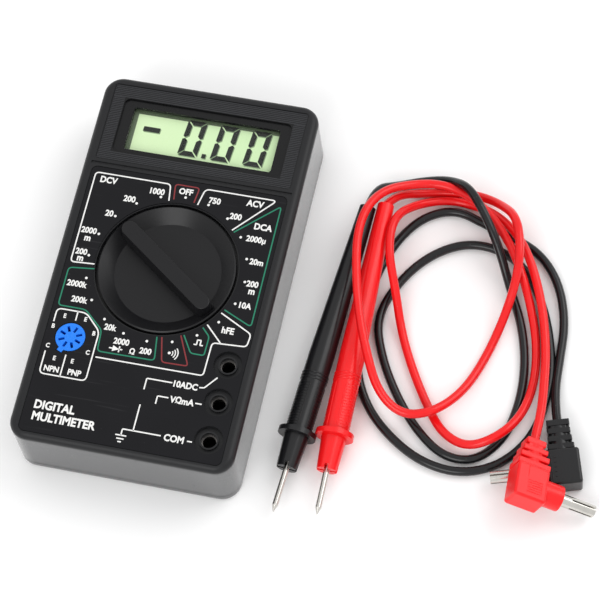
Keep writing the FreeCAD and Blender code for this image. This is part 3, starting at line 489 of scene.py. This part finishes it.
def lcd_reflector(name):
    """Pale green reflective display: soft cloud, shaded rim and a very fine grain."""
    lcd = Finish(name, IOR=1.5, Specular_IOR_Level=0.2)
    cloud = lcd.noise(48.0, 2.0)
    grain = lcd.noise(5200.0, 1.0)
    # Paler at the left, deeper green at the right: painted light across the display.
    green = lcd.mix(lcd.fade("X", -24.0, 24.0), (0.66, 0.84, 0.50), (0.55, 0.76, 0.42))
    tone = lcd.mix(cloud * 0.25, green, (0.50, 0.68, 0.38))
    glint = lcd.mix(lcd.ramp(grain, (0.4, 0.0), (0.9, 0.25)), tone, (0.8, 0.95, 0.7))
    lit = lcd.patch((0.9, 45.2), (23.35, 7.15))
    shown = lcd.mix(lit, (0.10, 0.14, 0.08), glint)
    return lcd.done(shown, 0.42 + (grain - 0.5) * 0.2, lcd.bump(grain, 0.000005, 0.3))


def lcd_ink(name, colour):
    """Switched-on display segments: near-black with a slight green cast."""
    ink = Finish(name, IOR=1.5, Specular_IOR_Level=0.1)
    cloud = ink.noise(300.0, 2.0)
    return ink.done(ink.mix(cloud, shade(colour, 0.8), shade(colour, 1.3)),
                    0.4 + (cloud - 0.5) * 0.1)


def board_laminate(name):
    """Green solder mask with buried tracks, pads and a woven glass hint."""
    board = Finish(name, IOR=1.5, Coat_Weight=0.2, Coat_Roughness=0.2)
    tracks = board.ramp(board.node("ShaderNodeTexBrick", {"offset": 0.37}, {
        "Vector": board.place, "Scale": 260.0, "Mortar Size": 0.09,
        "Color1": (0, 0, 0, 1), "Color2": (0, 0, 0, 1), "Mortar": (1, 1, 1, 1)}),
        (0.3, 0.0), (0.7, 1.0))
    weave = board.bands(700.0, "X") * board.bands(700.0, "Y")
    pads = board.ramp(board.cells(340.0), (0.10, 1.0), (0.14, 0.0))
    mask = board.mix(tracks, (0.012, 0.075, 0.03), (0.03, 0.19, 0.07))
    soldered = board.mix(pads * 0.8, mask, (0.55, 0.55, 0.52))
    return board.done(soldered, 0.35 - pads * 0.1 + weave * 0.08,
                      board.bump(tracks + pads, 0.00005, 0.6,
                                 board.bump(weave, 0.00001, 0.3)))


def striped_rubber(name):
    """Conductive elastomer: fine dark stripes in soft pink-grey silicone."""
    strip = Finish(name)
    stripe = strip.ramp(strip.bands(1200.0, "X"), (0.4, 0.0), (0.6, 1.0))
    body = strip.mix(stripe, (0.32, 0.26, 0.27), (0.03, 0.03, 0.035))
    return strip.done(body, 0.6 + stripe * 0.15, strip.bump(stripe, 0.00002, 0.4))


def banded_body(name, body, band, scale, axis="Y"):
    """Small component body with painted colour bands and a lacquer gloss."""
    part = Finish(name, Coat_Weight=0.4, Coat_Roughness=0.15)
    stripe = part.ramp(part.bands(scale, axis), (0.72, 0.0), (0.8, 1.0))
    cloud = part.noise(800.0, 2.0)
    tone = part.mix(cloud, shade(body, 0.85), shade(body, 1.15))
    return part.done(part.mix(stripe, tone, band),
                     0.35 + (cloud - 0.5) * 0.15,
                     part.bump(cloud, 0.00002, 0.3))


def battery_jacket(name):
    """Lacquered metal jacket in two plain colours, with rolled, rubbed edges."""
    jacket = Finish(name, Metallic=0.35, Coat_Weight=0.5, Coat_Roughness=0.15)
    split = jacket.axis("X") > 0.004
    cloud = jacket.noise(160.0, 3.0)
    rub = jacket.ramp(jacket.noise(700.0, 2.0), (0.62, 0.0), (0.72, 1.0))
    two = jacket.mix(split, (0.02, 0.025, 0.03), (0.45, 0.30, 0.10))
    return jacket.done(jacket.mix(rub * 0.4, two, (0.5, 0.5, 0.5)),
                       0.3 + (cloud - 0.5) * 0.15 + rub * 0.1,
                       jacket.bump(cloud, 0.00003, 0.3))


def potting_resin(name):
    """Black resin drop: glossy, with slow waves and a few pinholes."""
    resin = Finish(name, Coat_Weight=0.6, Coat_Roughness=0.06)
    wave = resin.noise(260.0, 2.0)
    holes = resin.ramp(resin.cells(520.0), (0.03, 1.0), (0.06, 0.0))
    return resin.done(resin.mix(wave, (0.006, 0.006, 0.006), (0.018, 0.017, 0.016)),
                      0.16 + holes * 0.4 + (wave - 0.5) * 0.1,
                      resin.bump(wave - holes, 0.0001, 0.4))


def fuse_glass(name):
    """Glass tube with metal end caps and a hair of wire."""
    tube = Finish(name, IOR=1.5)
    along = tube.maths("ABSOLUTE", tube.axis("X") + 0.014)
    cap = along > 0.005
    cloud = tube.noise(500.0, 2.0)
    tone = tube.mix(cap, (0.55, 0.6, 0.6), (0.7, 0.69, 0.66))
    return tube.done(tone, 0.12 + cap * 0.15 + cloud * 0.08,
                     tube.bump(cloud, 0.00001, 0.3), Metallic=cap)


def pale_floor(name, colour):
    """Smooth pale paper with a faint tooth."""
    paper = Finish(name)
    tooth = paper.noise(900.0, 2.0)
    broad = paper.noise(3.0, 2.0)
    return paper.done(paper.mix(broad, shade(colour, 0.985), colour),
                      0.75 + (tooth - 0.5) * 0.1,
                      paper.bump(tooth, 0.00001, 0.1))


# ---- meshes and pieces


def keep(name, mesh, material, body):
    """A finished piece, at the origin, riding on a body."""
    mesh.name = name
    mesh.materials.clear()
    mesh.materials.append(material)
    for polygon in mesh.polygons:
        polygon.material_index = 0
    piece = bpy.data.objects.new(name, mesh)
    bpy.context.scene.collection.objects.link(piece)
    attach(piece, body)
    return piece


def dress(node, material):
    """A CAD node's own finish."""
    slots = NODES[node].data.materials
    slots.clear()
    slots.append(material)


def plain_mesh(work):
    mesh = bpy.data.meshes.new("Work")
    work.to_mesh(mesh)
    work.free()
    return mesh


def mesh_of(maker):
    """A mesh filled in by maker, with its faces outwards."""
    work = bmesh.new()
    maker(work)
    bmesh.ops.recalc_face_normals(work, faces=work.faces)
    return plain_mesh(work)


def evaluated_mesh(source):
    """A plain mesh of an object's curve, text or modifiers."""
    bpy.context.scene.collection.objects.link(source)
    bpy.context.view_layer.update()
    mesh = bpy.data.meshes.new_from_object(source.evaluated_get(
        bpy.context.evaluated_depsgraph_get()))
    bpy.data.objects.remove(source)
    return mesh


def joined(meshes):
    """Several meshes as one."""
    work = bmesh.new()
    for mesh in meshes:
        work.from_mesh(mesh)
        bpy.data.meshes.remove(mesh)
    return plain_mesh(work)


def moved(x, y, z):
    """A matrix that moves by millimetres."""
    return Matrix.Translation(Vector((x, y, z)) * MM)


def prism(work, outline, low, high):
    """A closed slab with the outline's corners, between two heights, in millimetres."""
    top = [work.verts.new((x * MM, y * MM, high * MM)) for x, y in outline]
    under = [work.verts.new((x * MM, y * MM, low * MM)) for x, y in outline]
    work.faces.new(top)
    work.faces.new(list(reversed(under)))
    count = len(outline)
    for n in range(count):
        after = (n + 1) % count
        work.faces.new((under[n], under[after], top[after], top[n]))


def rounded_line(corners, radius, steps=6):
    """The corners of a line, each inner one turned into a short curve."""
    line = [Vector(corners[0])]
    for before, corner, after in zip(corners, corners[1:], corners[2:]):
        corner = Vector(corner)
        back = Vector(before) - corner
        ahead = Vector(after) - corner
        reach = min(radius, back.length * 0.45, ahead.length * 0.45)
        first = corner + back.normalized() * reach
        last = corner + ahead.normalized() * reach
        for n in range(steps + 1):
            share = n / steps
            line.append(first.lerp(corner, share).lerp(corner.lerp(last, share), share))
    line.append(Vector(corners[-1]))
    return line


def soft_block(work, middle, size, edge):
    """A block with rounded edges, in millimetres."""
    made = bmesh.ops.create_cube(work, size=1.0)["verts"]
    shape = moved(*middle) @ Matrix.Diagonal((*(Vector(size) * MM), 1.0))
    bmesh.ops.transform(work, matrix=shape, verts=made)
    edges = {e for v in made for e in v.link_edges}
    bmesh.ops.bevel(work, geom=list(edges), offset=edge * MM, segments=2, profile=0.6,
                    affect="EDGES")


def ribbon(work, line, width, low, high):
    """A closed flat band along a line."""
    left = []
    right = []
    for n, point in enumerate(line):
        before = line[max(n - 1, 0)]
        after = line[min(n + 1, len(line) - 1)]
        along = (after - before).normalized()
        side = Vector((-along.y, along.x)) * width / 2
        left.append(point + side)
        right.append(point - side)
    rows = [[work.verts.new((p.x * MM, p.y * MM, z * MM)) for p in row]
            for row, z in ((left, high), (right, high), (right, low), (left, low))]
    for n in range(len(line) - 1):
        for row, other in zip(rows, rows[1:] + rows[:1]):
            work.faces.new((row[n], row[n + 1], other[n + 1], other[n]))
    for end in (0, -1):
        work.faces.new([row[end] for row in rows])


def word_mesh(text, x, y, height):
    """One printed word, centred on its place, as a thin closed mesh."""
    font = bpy.data.curves.new("Word", "FONT")
    font.body = text
    font.size = height / CAPITAL_SHARE * MM
    font.align_x = font.align_y = "CENTER"
    font.resolution_u = 3
    font.offset = WORD_WEIGHT * font.size
    font.extrude = 0.012 * MM
    mesh = evaluated_mesh(bpy.data.objects.new("Word", font))
    mesh.transform(Matrix.Diagonal((WORD_WIDTH, 1.0, 1.0, 1.0)))
    xs = [v.co.x for v in mesh.vertices]
    ys = [v.co.y for v in mesh.vertices]
    middle = Vector(((min(xs) + max(xs)) / 2, (min(ys) + max(ys)) / 2, 0))
    mesh.transform(Matrix.Translation(Vector((x, y, LABEL_TOP + 0.006)) * MM - middle))
    return mesh


def laid_along(place, along):
    """A matrix that lays local Z along a direction, at a place in millimetres."""
    turn = Vector((0, 0, 1)).rotation_difference(Vector(along)).to_matrix().to_4x4()
    return moved(*place) @ turn


def plug_frame(colour):
    """A plug's own axes: X along its pin, Y towards its cable."""
    place, pin, cable = (Vector(v) for v in PLUGS[colour])
    x = pin.normalized()
    y = (cable - x * cable.dot(x)).normalized()
    turn = Matrix((x, y, x.cross(y))).transposed().to_4x4()
    return moved(*place) @ turn


# ---- repeating shapes


class Pattern(Graph):
    """A geometry tree with named sizes that grows a repeated shape."""

    def __init__(self, name, *lengths):
        tree = bpy.data.node_groups.new(name, "GeometryNodeTree")
        tree.interface.new_socket("Geometry", in_out="OUTPUT",
                                  socket_type="NodeSocketGeometry")
        kinds = dict.fromkeys(lengths, "Float") | {"Count": "Int", "Finish": "Material"}
        for label, kind in kinds.items():
            tree.interface.new_socket(label, in_out="INPUT", socket_type="NodeSocket" + kind)
        super().__init__(tree)
        self.inlet = tree.nodes.new("NodeGroupInput")

    def size(self, label):
        return Signal(self, self.inlet.outputs[label])

    def row(self, axis):
        """Points a pitch apart along an axis."""
        step = self.node("ShaderNodeCombineXYZ", None, {axis: self.size("Pitch")})
        return self.node("GeometryNodeMeshLine", None,
                         {"Count": self.size("Count"), "Offset": step})

    def bar(self, rail, radius, sides):
        """A round bar along a curve, with closed ends."""
        ring = self.node("GeometryNodeCurvePrimitiveCircle", None,
                         {"Resolution": sides, "Radius": self.size(radius)})
        return self.node("GeometryNodeCurveToMesh", None,
                         {"Curve": rail, "Profile Curve": ring, "Fill Caps": True})

    def close(self, points, shape, **more):
        """The shape on every point, made real and given its finish."""
        copies = self.node("GeometryNodeInstanceOnPoints", None,
                           {"Points": points, "Instance": shape, **more})
        real = self.node("GeometryNodeRealizeInstances", None, {"Geometry": copies})
        dressed = self.node("GeometryNodeSetMaterial", None,
                            {"Geometry": real, "Material": self.size("Finish")})
        outlet = self.tree.nodes.new("NodeGroupOutput")
        self.put(outlet.inputs["Geometry"], dressed)
        return self.tree


def rib_pattern():
    """Straight half-round ribs side by side."""
    p = Pattern("Rib rows", "Length", "Radius", "Pitch")
    half = p.size("Length") * 0.5
    ends = [p.node("ShaderNodeCombineXYZ", None, {"X": way}) for way in (0.0 - half, half)]
    rail = p.node("GeometryNodeCurvePrimitiveLine", None, {"Start": ends[0], "End": ends[1]})
    return p.close(p.row("Y"), p.bar(rail, "Radius", 8))


def dot_pattern():
    """Small flat dots evenly round a circle."""
    p = Pattern("Dot ring", "Circle", "Dot", "Thickness")
    points = p.node("GeometryNodeMeshCircle", None,
                    {"Vertices": p.size("Count"), "Radius": p.size("Circle")})
    return p.close(points, p.node("GeometryNodeMeshCylinder", None, {
        "Vertices": 20, "Radius": p.size("Dot"), "Depth": p.size("Thickness")}))


def hoop_pattern():
    """Hoops, whole or part of a turn, in a row along Z."""
    p = Pattern("Hoop row", "Hoop", "Wire", "Pitch", "Start", "Sweep")
    arc = p.node("GeometryNodeCurveArc", None,
                 {"Resolution": 40, "Radius": p.size("Hoop"),
                  "Start Angle": p.size("Start"), "Sweep Angle": p.size("Sweep")})
    return p.close(p.row("Z"), p.bar(arc, "Wire", 10))


def grown(tree, material, place, **sizes):
    """The pattern's result as a plain mesh, put in its place."""
    host = bpy.data.objects.new("Host", bpy.data.meshes.new("Host"))
    modifier = host.modifiers.new("Pattern", "NODES")
    modifier.node_group = tree
    sizes["Finish"] = material
    for item in tree.interface.items_tree:
        if item.in_out == "INPUT":
            modifier[item.identifier] = sizes[item.name]
    mesh = evaluated_mesh(host)
    mesh.transform(place)
    return mesh


# ---- operators


class MULTIMETER_OT_case(bpy.types.Operator):
    """Finish the case and rib the surround of the display"""
    bl_idname = "multimeter.case"
    bl_label = "Case and display ribs"

    def execute(self, context):
        look = context.scene.multimeter_case
        tint = tuple(look.plastic)
        for half, bezel in (("front", ((0.0, 46.1), (27.5, 9.8))), ("rear", None)):
            name = "case_plastic" if bezel else "rear_plastic"
            # Below 21 mm the case's walls get painted light.
            dress(half + "_case", moulded_plastic(name, tint, 0.41, 2300.0, 0.00005,
                                                  sheen=0.27, polished=bezel,
                                                  walls_painted_lighter_below=21.0))
        ribbed = moulded_plastic("rib_plastic", shade(tint, 2.6), 0.5, 2300.0, 0.00002)
        dress("face_label", label_film("label_film", (0.006, 0.006, 0.0075)))
        tree = rib_pattern()
        fields = [(0.0, 62.6, 33.25, 36.3), (0.0, 62.6, 55.95, 59.95),
                  (-29.35, 3.7, 36.5, 55.75), (29.35, 3.7, 36.5, 55.75)]
        pitch = look.rib_pitch / MM
        meshes = []
        for x, length, low, high in fields:
            count = int((high - low) / pitch) + 1
            spare = (high - low - (count - 1) * pitch) / 2
            place = moved(x, low + spare, RIBBED_FLOOR)
            meshes.append(grown(tree, ribbed, place, Length=length * MM,
                                Radius=look.rib_radius, Pitch=look.rib_pitch, Count=count))
        keep("display_ribs", joined(meshes), ribbed, "meter")
        return {"FINISHED"}


class MULTIMETER_OT_face_print(bpy.types.Operator):
    """Print the ranges, their numbers and the ring of dots"""
    bl_idname = "multimeter.face_print"
    bl_label = "Face print"

    def execute(self, context):
        look = context.scene.multimeter_print
        inks = {name: printing_ink("ink_" + name, tuple(getattr(look, name)))
                for name in ("white", "red", "green")}
        for colour, ink in inks.items():
            def lines(work, colour=colour):
                for radius, corners in PRINTED_LINES[colour]:
                    ribbon(work, rounded_line(corners, radius), LINE_WIDTH, INK_LOW, INK_HIGH)
            keep("lines_" + colour, mesh_of(lines), ink, "meter")
        words = [word_mesh(*word) for word in PRINTED_WORDS]
        keep("range_lettering", joined(words), inks["white"], "meter")
        keep("range_symbols", mesh_of(self.symbols), inks["white"], "meter")
        place = moved(*DIAL_CENTRE, LABEL_TOP + 0.006)
        dots = grown(dot_pattern(), inks["white"], place, Circle=look.dot_circle,
                     Dot=0.42 * MM, Thickness=0.024 * MM, Count=look.dots)
        keep("range_dots", dots, inks["white"], "meter")
        return {"FINISHED"}

    def symbols(self, work):
        """The diode's triangle and the buzzer's dot and waves."""
        prism(work, [(-9.8, -28.6), (-9.8, -30.6), (-7.7, -29.6)], INK_LOW, INK_HIGH + 0.002)
        middle = Vector((7.7, -27.9))
        prism(work, [middle + Vector((math.cos(a), math.sin(a))) * 0.45
                     for a in (math.tau * n / 16 for n in range(16))],
              INK_LOW, INK_HIGH)
        for radius in (1.1, 1.9, 2.7):
            arc = [middle + Vector((math.cos(a), math.sin(a))) * radius
                   for a in (math.radians(-42 + 7 * n) for n in range(13))]
            ribbon(work, arc, 0.34, INK_LOW, INK_HIGH)


class MULTIMETER_OT_display(bpy.types.Operator):
    """Make the display glass, its figures and the clear window"""
    bl_idname = "multimeter.display"
    bl_label = "Display"

    height = 12.7
    width = 6.3
    stroke = 1.7
    gap = 0.17
    lean = math.tan(math.radians(4.5))

    def execute(self, context):
        dress("lcd_panel", lcd_reflector("lcd_reflector"))
        dress("window_lens", clear_window("clear_window"))
        dress("lcd_holder", moulded_plastic("holder_plastic", (0.03, 0.03, 0.03), 0.55))
        dress("zebra_strips", striped_rubber("striped_rubber"))
        figures = lcd_ink("lcd_ink", (0.010, 0.013, 0.010))
        keep("lcd_figures", mesh_of(lambda work: self.figures(work, 0.0, 0.0, 0.06, 0.03)),
             figures, "meter")
        shadow = lcd_ink("lcd_shadow", (0.20, 0.29, 0.16))
        keep("lcd_figure_shadows",
             mesh_of(lambda work: self.figures(work, 0.28, -0.34, 0.02, 0.0)),
             shadow, "meter")
        return {"FINISHED"}

    def figures(self, work, shift_x, shift_y, high, low):
        """A minus sign, three noughts and a point."""
        def put(outline, left):
            points = [(left + shift_x + x + y * self.lean, DIGIT_BASE + shift_y + y)
                      for x, y in outline]
            prism(work, points, LCD_TOP + low, LCD_TOP + high)

        for left in DIGIT_LEFT:
            for outline in self.nought():
                put(outline, left)
        put([(0.0, 0.1), (1.3, 0.1), (1.3, 1.6), (0.0, 1.6)], 0.6)
        put([(0.0, 6.3), (5.4, 6.3), (5.4, 8.0), (0.0, 8.0)], -20.4)

    def nought(self):
        """The six outer strokes of a seven-stroke figure."""
        w, h, t, g = self.width, self.height, self.stroke, self.gap
        top = [(g * 2, h), (w - g * 2, h), (w - t - g, h - t), (t + g, h - t)]
        side = [(0.0, h - g * 2), (t, h - t - g * 1.5), (t, h / 2 + t * 0.55),
                (t * 0.45, h / 2 + g), (0.0, h / 2 + t * 0.3)]
        strokes = []
        for outline in (top, side):
            strokes.append(outline)
            strokes.append([(w - x, h - y) for x, y in outline])
        strokes.append([(w - x, y) for x, y in side])
        strokes.append([(x, h - y) for x, y in side])
        return strokes


class MULTIMETER_OT_dial(bpy.types.Operator):
    """Finish the range dial and its detent parts"""
    bl_idname = "multimeter.dial"
    bl_label = "Range dial"

    def execute(self, context):
        dress("dial_knob", moulded_plastic("knob_plastic", (0.0065, 0.0065, 0.0075), 0.33,
                                           3000.0, 0.00002, 0.1, 0.12))
        steel = worn_metal("spring_steel", (0.52, 0.52, 0.53), 0.28)
        for side in ("left", "right"):
            dress("detent_ball_" + side, steel)
            dress("detent_spring_" + side, steel)
        dress("wiper_contacts", worn_metal("wiper_bronze", (0.72, 0.48, 0.26), 0.3))
        return {"FINISHED"}


class MULTIMETER_OT_sockets(bpy.types.Operator):
    """Finish the input jacks and the transistor socket"""
    bl_idname = "multimeter.sockets"
    bl_label = "Jacks and transistor socket"

    def execute(self, context):
        sleeve = sleeve_with_painted_bore_shade("jack_sleeve")
        for place in ("upper", "middle", "lower"):
            dress("jack_socket_" + place, sleeve)
        dress("transistor_contacts", worn_metal("contact_brass", (0.30, 0.25, 0.16), 0.35,
                                                (0.08, 0.08, 1.0)))
        dress("transistor_socket", moulded_plastic(
            "socket_blue", (0.004, 0.18, 0.80), 0.36, 3000.0, 0.00002, 0.08, 0.1,
            coat=0.15, pale=(0.12, 0.38, 0.85)))
        return {"FINISHED"}


class MULTIMETER_OT_inside(bpy.types.Operator):
    """Finish the board, its parts, the battery and the screws"""
    bl_idname = "multimeter.inside"
    bl_label = "Inside parts and screws"

    def execute(self, context):
        steel = worn_metal("screw_steel", (0.50, 0.50, 0.51), 0.32)
        looks = {
            "circuit_board": board_laminate("board_laminate"),
            "chip_blob": potting_resin("potting_resin"),
            "fuse": fuse_glass("fuse_glass"),
            "fuse_clips": worn_metal("clip_tin", (0.62, 0.62, 0.6), 0.35),
            "buzzer": moulded_plastic("buzzer_shell", (0.015, 0.015, 0.016), 0.3),
            "trimmer": moulded_plastic("trimmer_body", (0.02, 0.1, 0.35), 0.4),
            "resistors": banded_body("resistor_paint", (0.42, 0.30, 0.16),
                                     (0.30, 0.03, 0.02), 420.0),
            "capacitors": banded_body("capacitor_dip", (0.40, 0.09, 0.02),
                                      (0.34, 0.07, 0.02), 60.0, "X"),
            "shunt_wire": worn_metal("shunt_copper", (0.70, 0.42, 0.22), 0.3),
            "battery": battery_jacket("battery_jacket"),
            "battery_snap": moulded_plastic("snap_vinyl", (0.02, 0.02, 0.02), 0.45),
            "battery_wire_red": soft_pvc("wire_red", (0.5, 0.01, 0.012), 0.35),
            "battery_wire_black": soft_pvc("wire_black", (0.012, 0.012, 0.012), 0.35),
            "case_screws": steel,
            "board_screws": steel,
        }
        for node, material in looks.items():
            dress(node, material)
        return {"FINISHED"}


class MULTIMETER_OT_leads(bpy.types.Operator):
    """Lay the cables and finish the probes and plugs"""
    bl_idname = "multimeter.leads"
    bl_label = "Test leads"

    def execute(self, context):
        look = context.scene.multimeter_leads
        nickel = worn_metal("lead_nickel", (0.66, 0.64, 0.60), 0.2)
        hoops = hoop_pattern()
        rails = rib_pattern()
        for colour in ("black", "red"):
            tint = tuple(getattr(look, colour))
            grip = moulded_plastic(colour + "_grip", tint, 0.30, 2600.0, 0.00002, 0.08, 0.1,
                                   coat=0.2, pale=shade(tint, 1.35))
            for part in ("probe_handle", "plug"):
                dress(f"{colour}_{part}", grip)
            for part in ("probe_tip", "plug_pin"):
                dress(f"{colour}_{part}", nickel)
            self.grip_ribs(colour, grip, hoops, rails)
            self.stepped_relief(colour, grip)
            self.moulded_lines(colour, grip, rails)
            self.cable(colour, soft_pvc(colour + "_pvc", tint), look.thickness)
        return {"FINISHED"}

    def grip_ribs(self, colour, grip, hoops, rails):
        """Fine ribs down both sides of the grip, a plain panel between, and shoulder rings."""
        at = laid_along(*PROBES[colour])
        near, far = GRIP_RIB_ARCS[colour]
        rows = [(2.0, 4.02, 0.17, 0.92, 16, *near), (2.0, 4.02, 0.17, 0.92, 16, *far),
                (17.6, 4.02, 0.28, 1.0, 3, 0.0, 360.0)]
        meshes = []
        for start, radius, wire, pitch, count, first, sweep in rows:
            place = at @ moved(0, 0, start)
            meshes.append(grown(hoops, grip, place, Hoop=radius * MM, Wire=wire * MM,
                                Pitch=pitch * MM, Start=math.radians(first),
                                Sweep=math.radians(sweep), Count=count))
        stand_up = Matrix.Rotation(math.radians(-90), 4, "Y")
        for angle in (near[0] - 5.0, far[0] + far[1] + 5.0):
            place = (at @ Matrix.Rotation(math.radians(angle), 4, "Z")
                     @ moved(4.0, 0, 9.0) @ stand_up)
            meshes.append(grown(rails, grip, place, Length=14.4 * MM, Radius=0.17 * MM,
                                Pitch=MM, Count=1))
        keep(colour + "_grip_ribs", joined(meshes), grip, "test_leads")

    def stepped_relief(self, colour, grip):
        """Flat stepped blocks of the strain relief behind the plug."""
        place = plug_frame(colour)

        def blocks(work):
            for y, width, length, thick in RELIEF_STEPS[colour]:
                soft_block(work, (0.0, y, 0.0), (width, length, thick), 0.35)

        mesh = mesh_of(blocks)
        mesh.transform(place)
        keep(colour + "_relief_steps", mesh, grip, "test_leads")

    def moulded_lines(self, colour, grip, rails):
        """Short raised lines on the plug's upper face."""
        top = 4.0 if colour == "red" else -4.0
        turn = Matrix.Rotation(math.radians(90), 4, "Z")
        rows = {
            "red": [(0.9, -3.6, 4.8, 6, 0.78, False), (-1.6, 3.2, 3.6, 1, 1.0, True)],
            "black": [(3.6, -0.6, 9.0, 1, 1.0, True), (2.4, -3.2, 0.7, 5, 1.5, False)],
        }[colour]
        meshes = []
        for x, y, length, count, pitch, upright in rows:
            place = plug_frame(colour) @ moved(x, y, top) @ (turn if upright else Matrix())
            meshes.append(grown(rails, grip, place, Length=length * MM, Radius=0.15 * MM,
                                Pitch=pitch * MM, Count=count))
        keep(colour + "_plug_lines", joined(meshes), grip, "test_leads")

    def cable(self, colour, pvc, thickness):
        """One soft cable along its route, round and of one thickness."""
        route = CABLE_ROUTES[colour]
        curve = bpy.data.curves.new(colour + "_cable_lay", "CURVE")
        curve.dimensions = "3D"
        curve.bevel_depth = thickness / 2
        curve.bevel_resolution = 4
        curve.resolution_u = 6
        curve.use_fill_caps = True
        spline = curve.splines.new("NURBS")
        spline.points.add(len(route) - 1)
        for point, place in zip(spline.points, route):
            point.co = (*(Vector(place) * MM), 1.0)
        spline.order_u = 3
        spline.use_endpoint_u = True
        curve.materials.append(pvc)
        piece = bpy.data.objects.new(colour + "_cable_lay", curve)
        bpy.context.scene.collection.objects.link(piece)
        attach(piece, "test_leads")
        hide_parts(colour + "_cable")


class MULTIMETER_OT_stage(bpy.types.Operator):
    """Set the pale floor, the soft studio light and the camera"""
    bl_idname = "multimeter.stage"
    bl_label = "Stage"

    def execute(self, context):
        look = context.scene.multimeter_stage
        scene = context.scene

        def sheet(work):
            bmesh.ops.create_grid(work, x_segments=1, y_segments=1, size=2.5)
            bmesh.ops.translate(work, verts=work.verts, vec=(0.05, 0, -0.0001))

        mesh = mesh_of(sheet)
        mesh.materials.append(pale_floor("floor_paper", tuple(look.floor)))
        floor = bpy.data.objects.new("floor", mesh)
        scene.collection.objects.link(floor)
        world = bpy.data.worlds.new("studio")
        world.use_nodes = True
        sky = world.node_tree.nodes["Background"]
        sky.inputs["Color"].default_value = (1.0, 1.0, 1.0, 1.0)
        sky.inputs["Strength"].default_value = look.daylight
        scene.world = world
        self.softbox("key_light", (0.75, 0.6, 0.95), 0.9, 5.2)
        self.softbox("side_light", (-0.1, -0.85, 0.78), 0.6, 3.6)
        self.camera(scene)
        scene.view_settings.view_transform = "Standard"
        return {"FINISHED"}

    def softbox(self, name, place, size, power):
        light = bpy.data.lights.new(name, "AREA")
        light.shape = "SQUARE"
        light.size = size
        light.energy = power
        lamp = bpy.data.objects.new(name, light)
        lamp.location = place
        aim = Vector((0.05, 0.0, 0.0)) - lamp.location
        lamp.rotation_euler = aim.to_track_quat("-Z", "Y").to_euler()
        bpy.context.scene.collection.objects.link(lamp)

    def camera(self, scene):
        """A long lens above the front edge, turned a little about its own line of sight."""
        lens = bpy.data.cameras.new("view")
        lens.sensor_width = 36.0
        lens.lens = CAMERA_LENS
        lens.clip_start = 0.05
        lens.clip_end = 10.0
        camera = bpy.data.objects.new("view", lens)
        tilt = math.radians(CAMERA_ELEVATION)
        back = Matrix.Rotation(math.radians(CAMERA_AZIMUTH), 3, "Z") @ Vector((
            0, -math.cos(tilt), math.sin(tilt)))
        turn = (-back).to_track_quat("-Z", "Y").to_matrix()
        roll = Matrix.Rotation(math.radians(CAMERA_ROLL), 3, "Z")
        camera.matrix_world = moved(*CAMERA_PLACE) @ (turn @ roll).to_4x4()
        scene.collection.objects.link(camera)
        scene.camera = camera


class MULTIMETER_PT_panel(bpy.types.Panel):
    """Every step of the multimeter"""
    bl_idname = "MULTIMETER_PT_panel"
    bl_label = "Digital Multimeter"
    bl_space_type = "VIEW_3D"
    bl_region_type = "UI"
    bl_category = "Multimeter"

    def draw(self, context):
        for step in STEPS:
            self.layout.operator(step.bl_idname)
        for name in SETTINGS:
            group = getattr(context.scene, name)
            for prop in group.bl_rna.properties:
                if prop.identifier not in ("rna_type", "name"):
                    self.layout.prop(group, prop.identifier)


SETTINGS = {
    "multimeter_print": FacePrintSettings,
    "multimeter_case": CaseSettings,
    "multimeter_leads": LeadSettings,
    "multimeter_stage": StageSettings,
}
STEPS = (
    MULTIMETER_OT_case,
    MULTIMETER_OT_face_print,
    MULTIMETER_OT_display,
    MULTIMETER_OT_dial,
    MULTIMETER_OT_sockets,
    MULTIMETER_OT_inside,
    MULTIMETER_OT_leads,
    MULTIMETER_OT_stage,
)


def register():
    for group in SETTINGS.values():
        bpy.utils.register_class(group)
    for name, group in SETTINGS.items():
        setattr(bpy.types.Scene, name, PointerProperty(type=group))
    for step in STEPS:
        bpy.utils.register_class(step)
    bpy.utils.register_class(MULTIMETER_PT_panel)


def unregister():
    bpy.utils.unregister_class(MULTIMETER_PT_panel)
    for step in reversed(STEPS):
        bpy.utils.unregister_class(step)
    for name in SETTINGS:
        delattr(bpy.types.Scene, name)
    for group in reversed(list(SETTINGS.values())):
        bpy.utils.unregister_class(group)


def main():
    register()
    for step in STEPS:
        family, name = step.bl_idname.split(".")
        getattr(getattr(bpy.ops, family), name)()


if __name__ == "__main__":
    main()
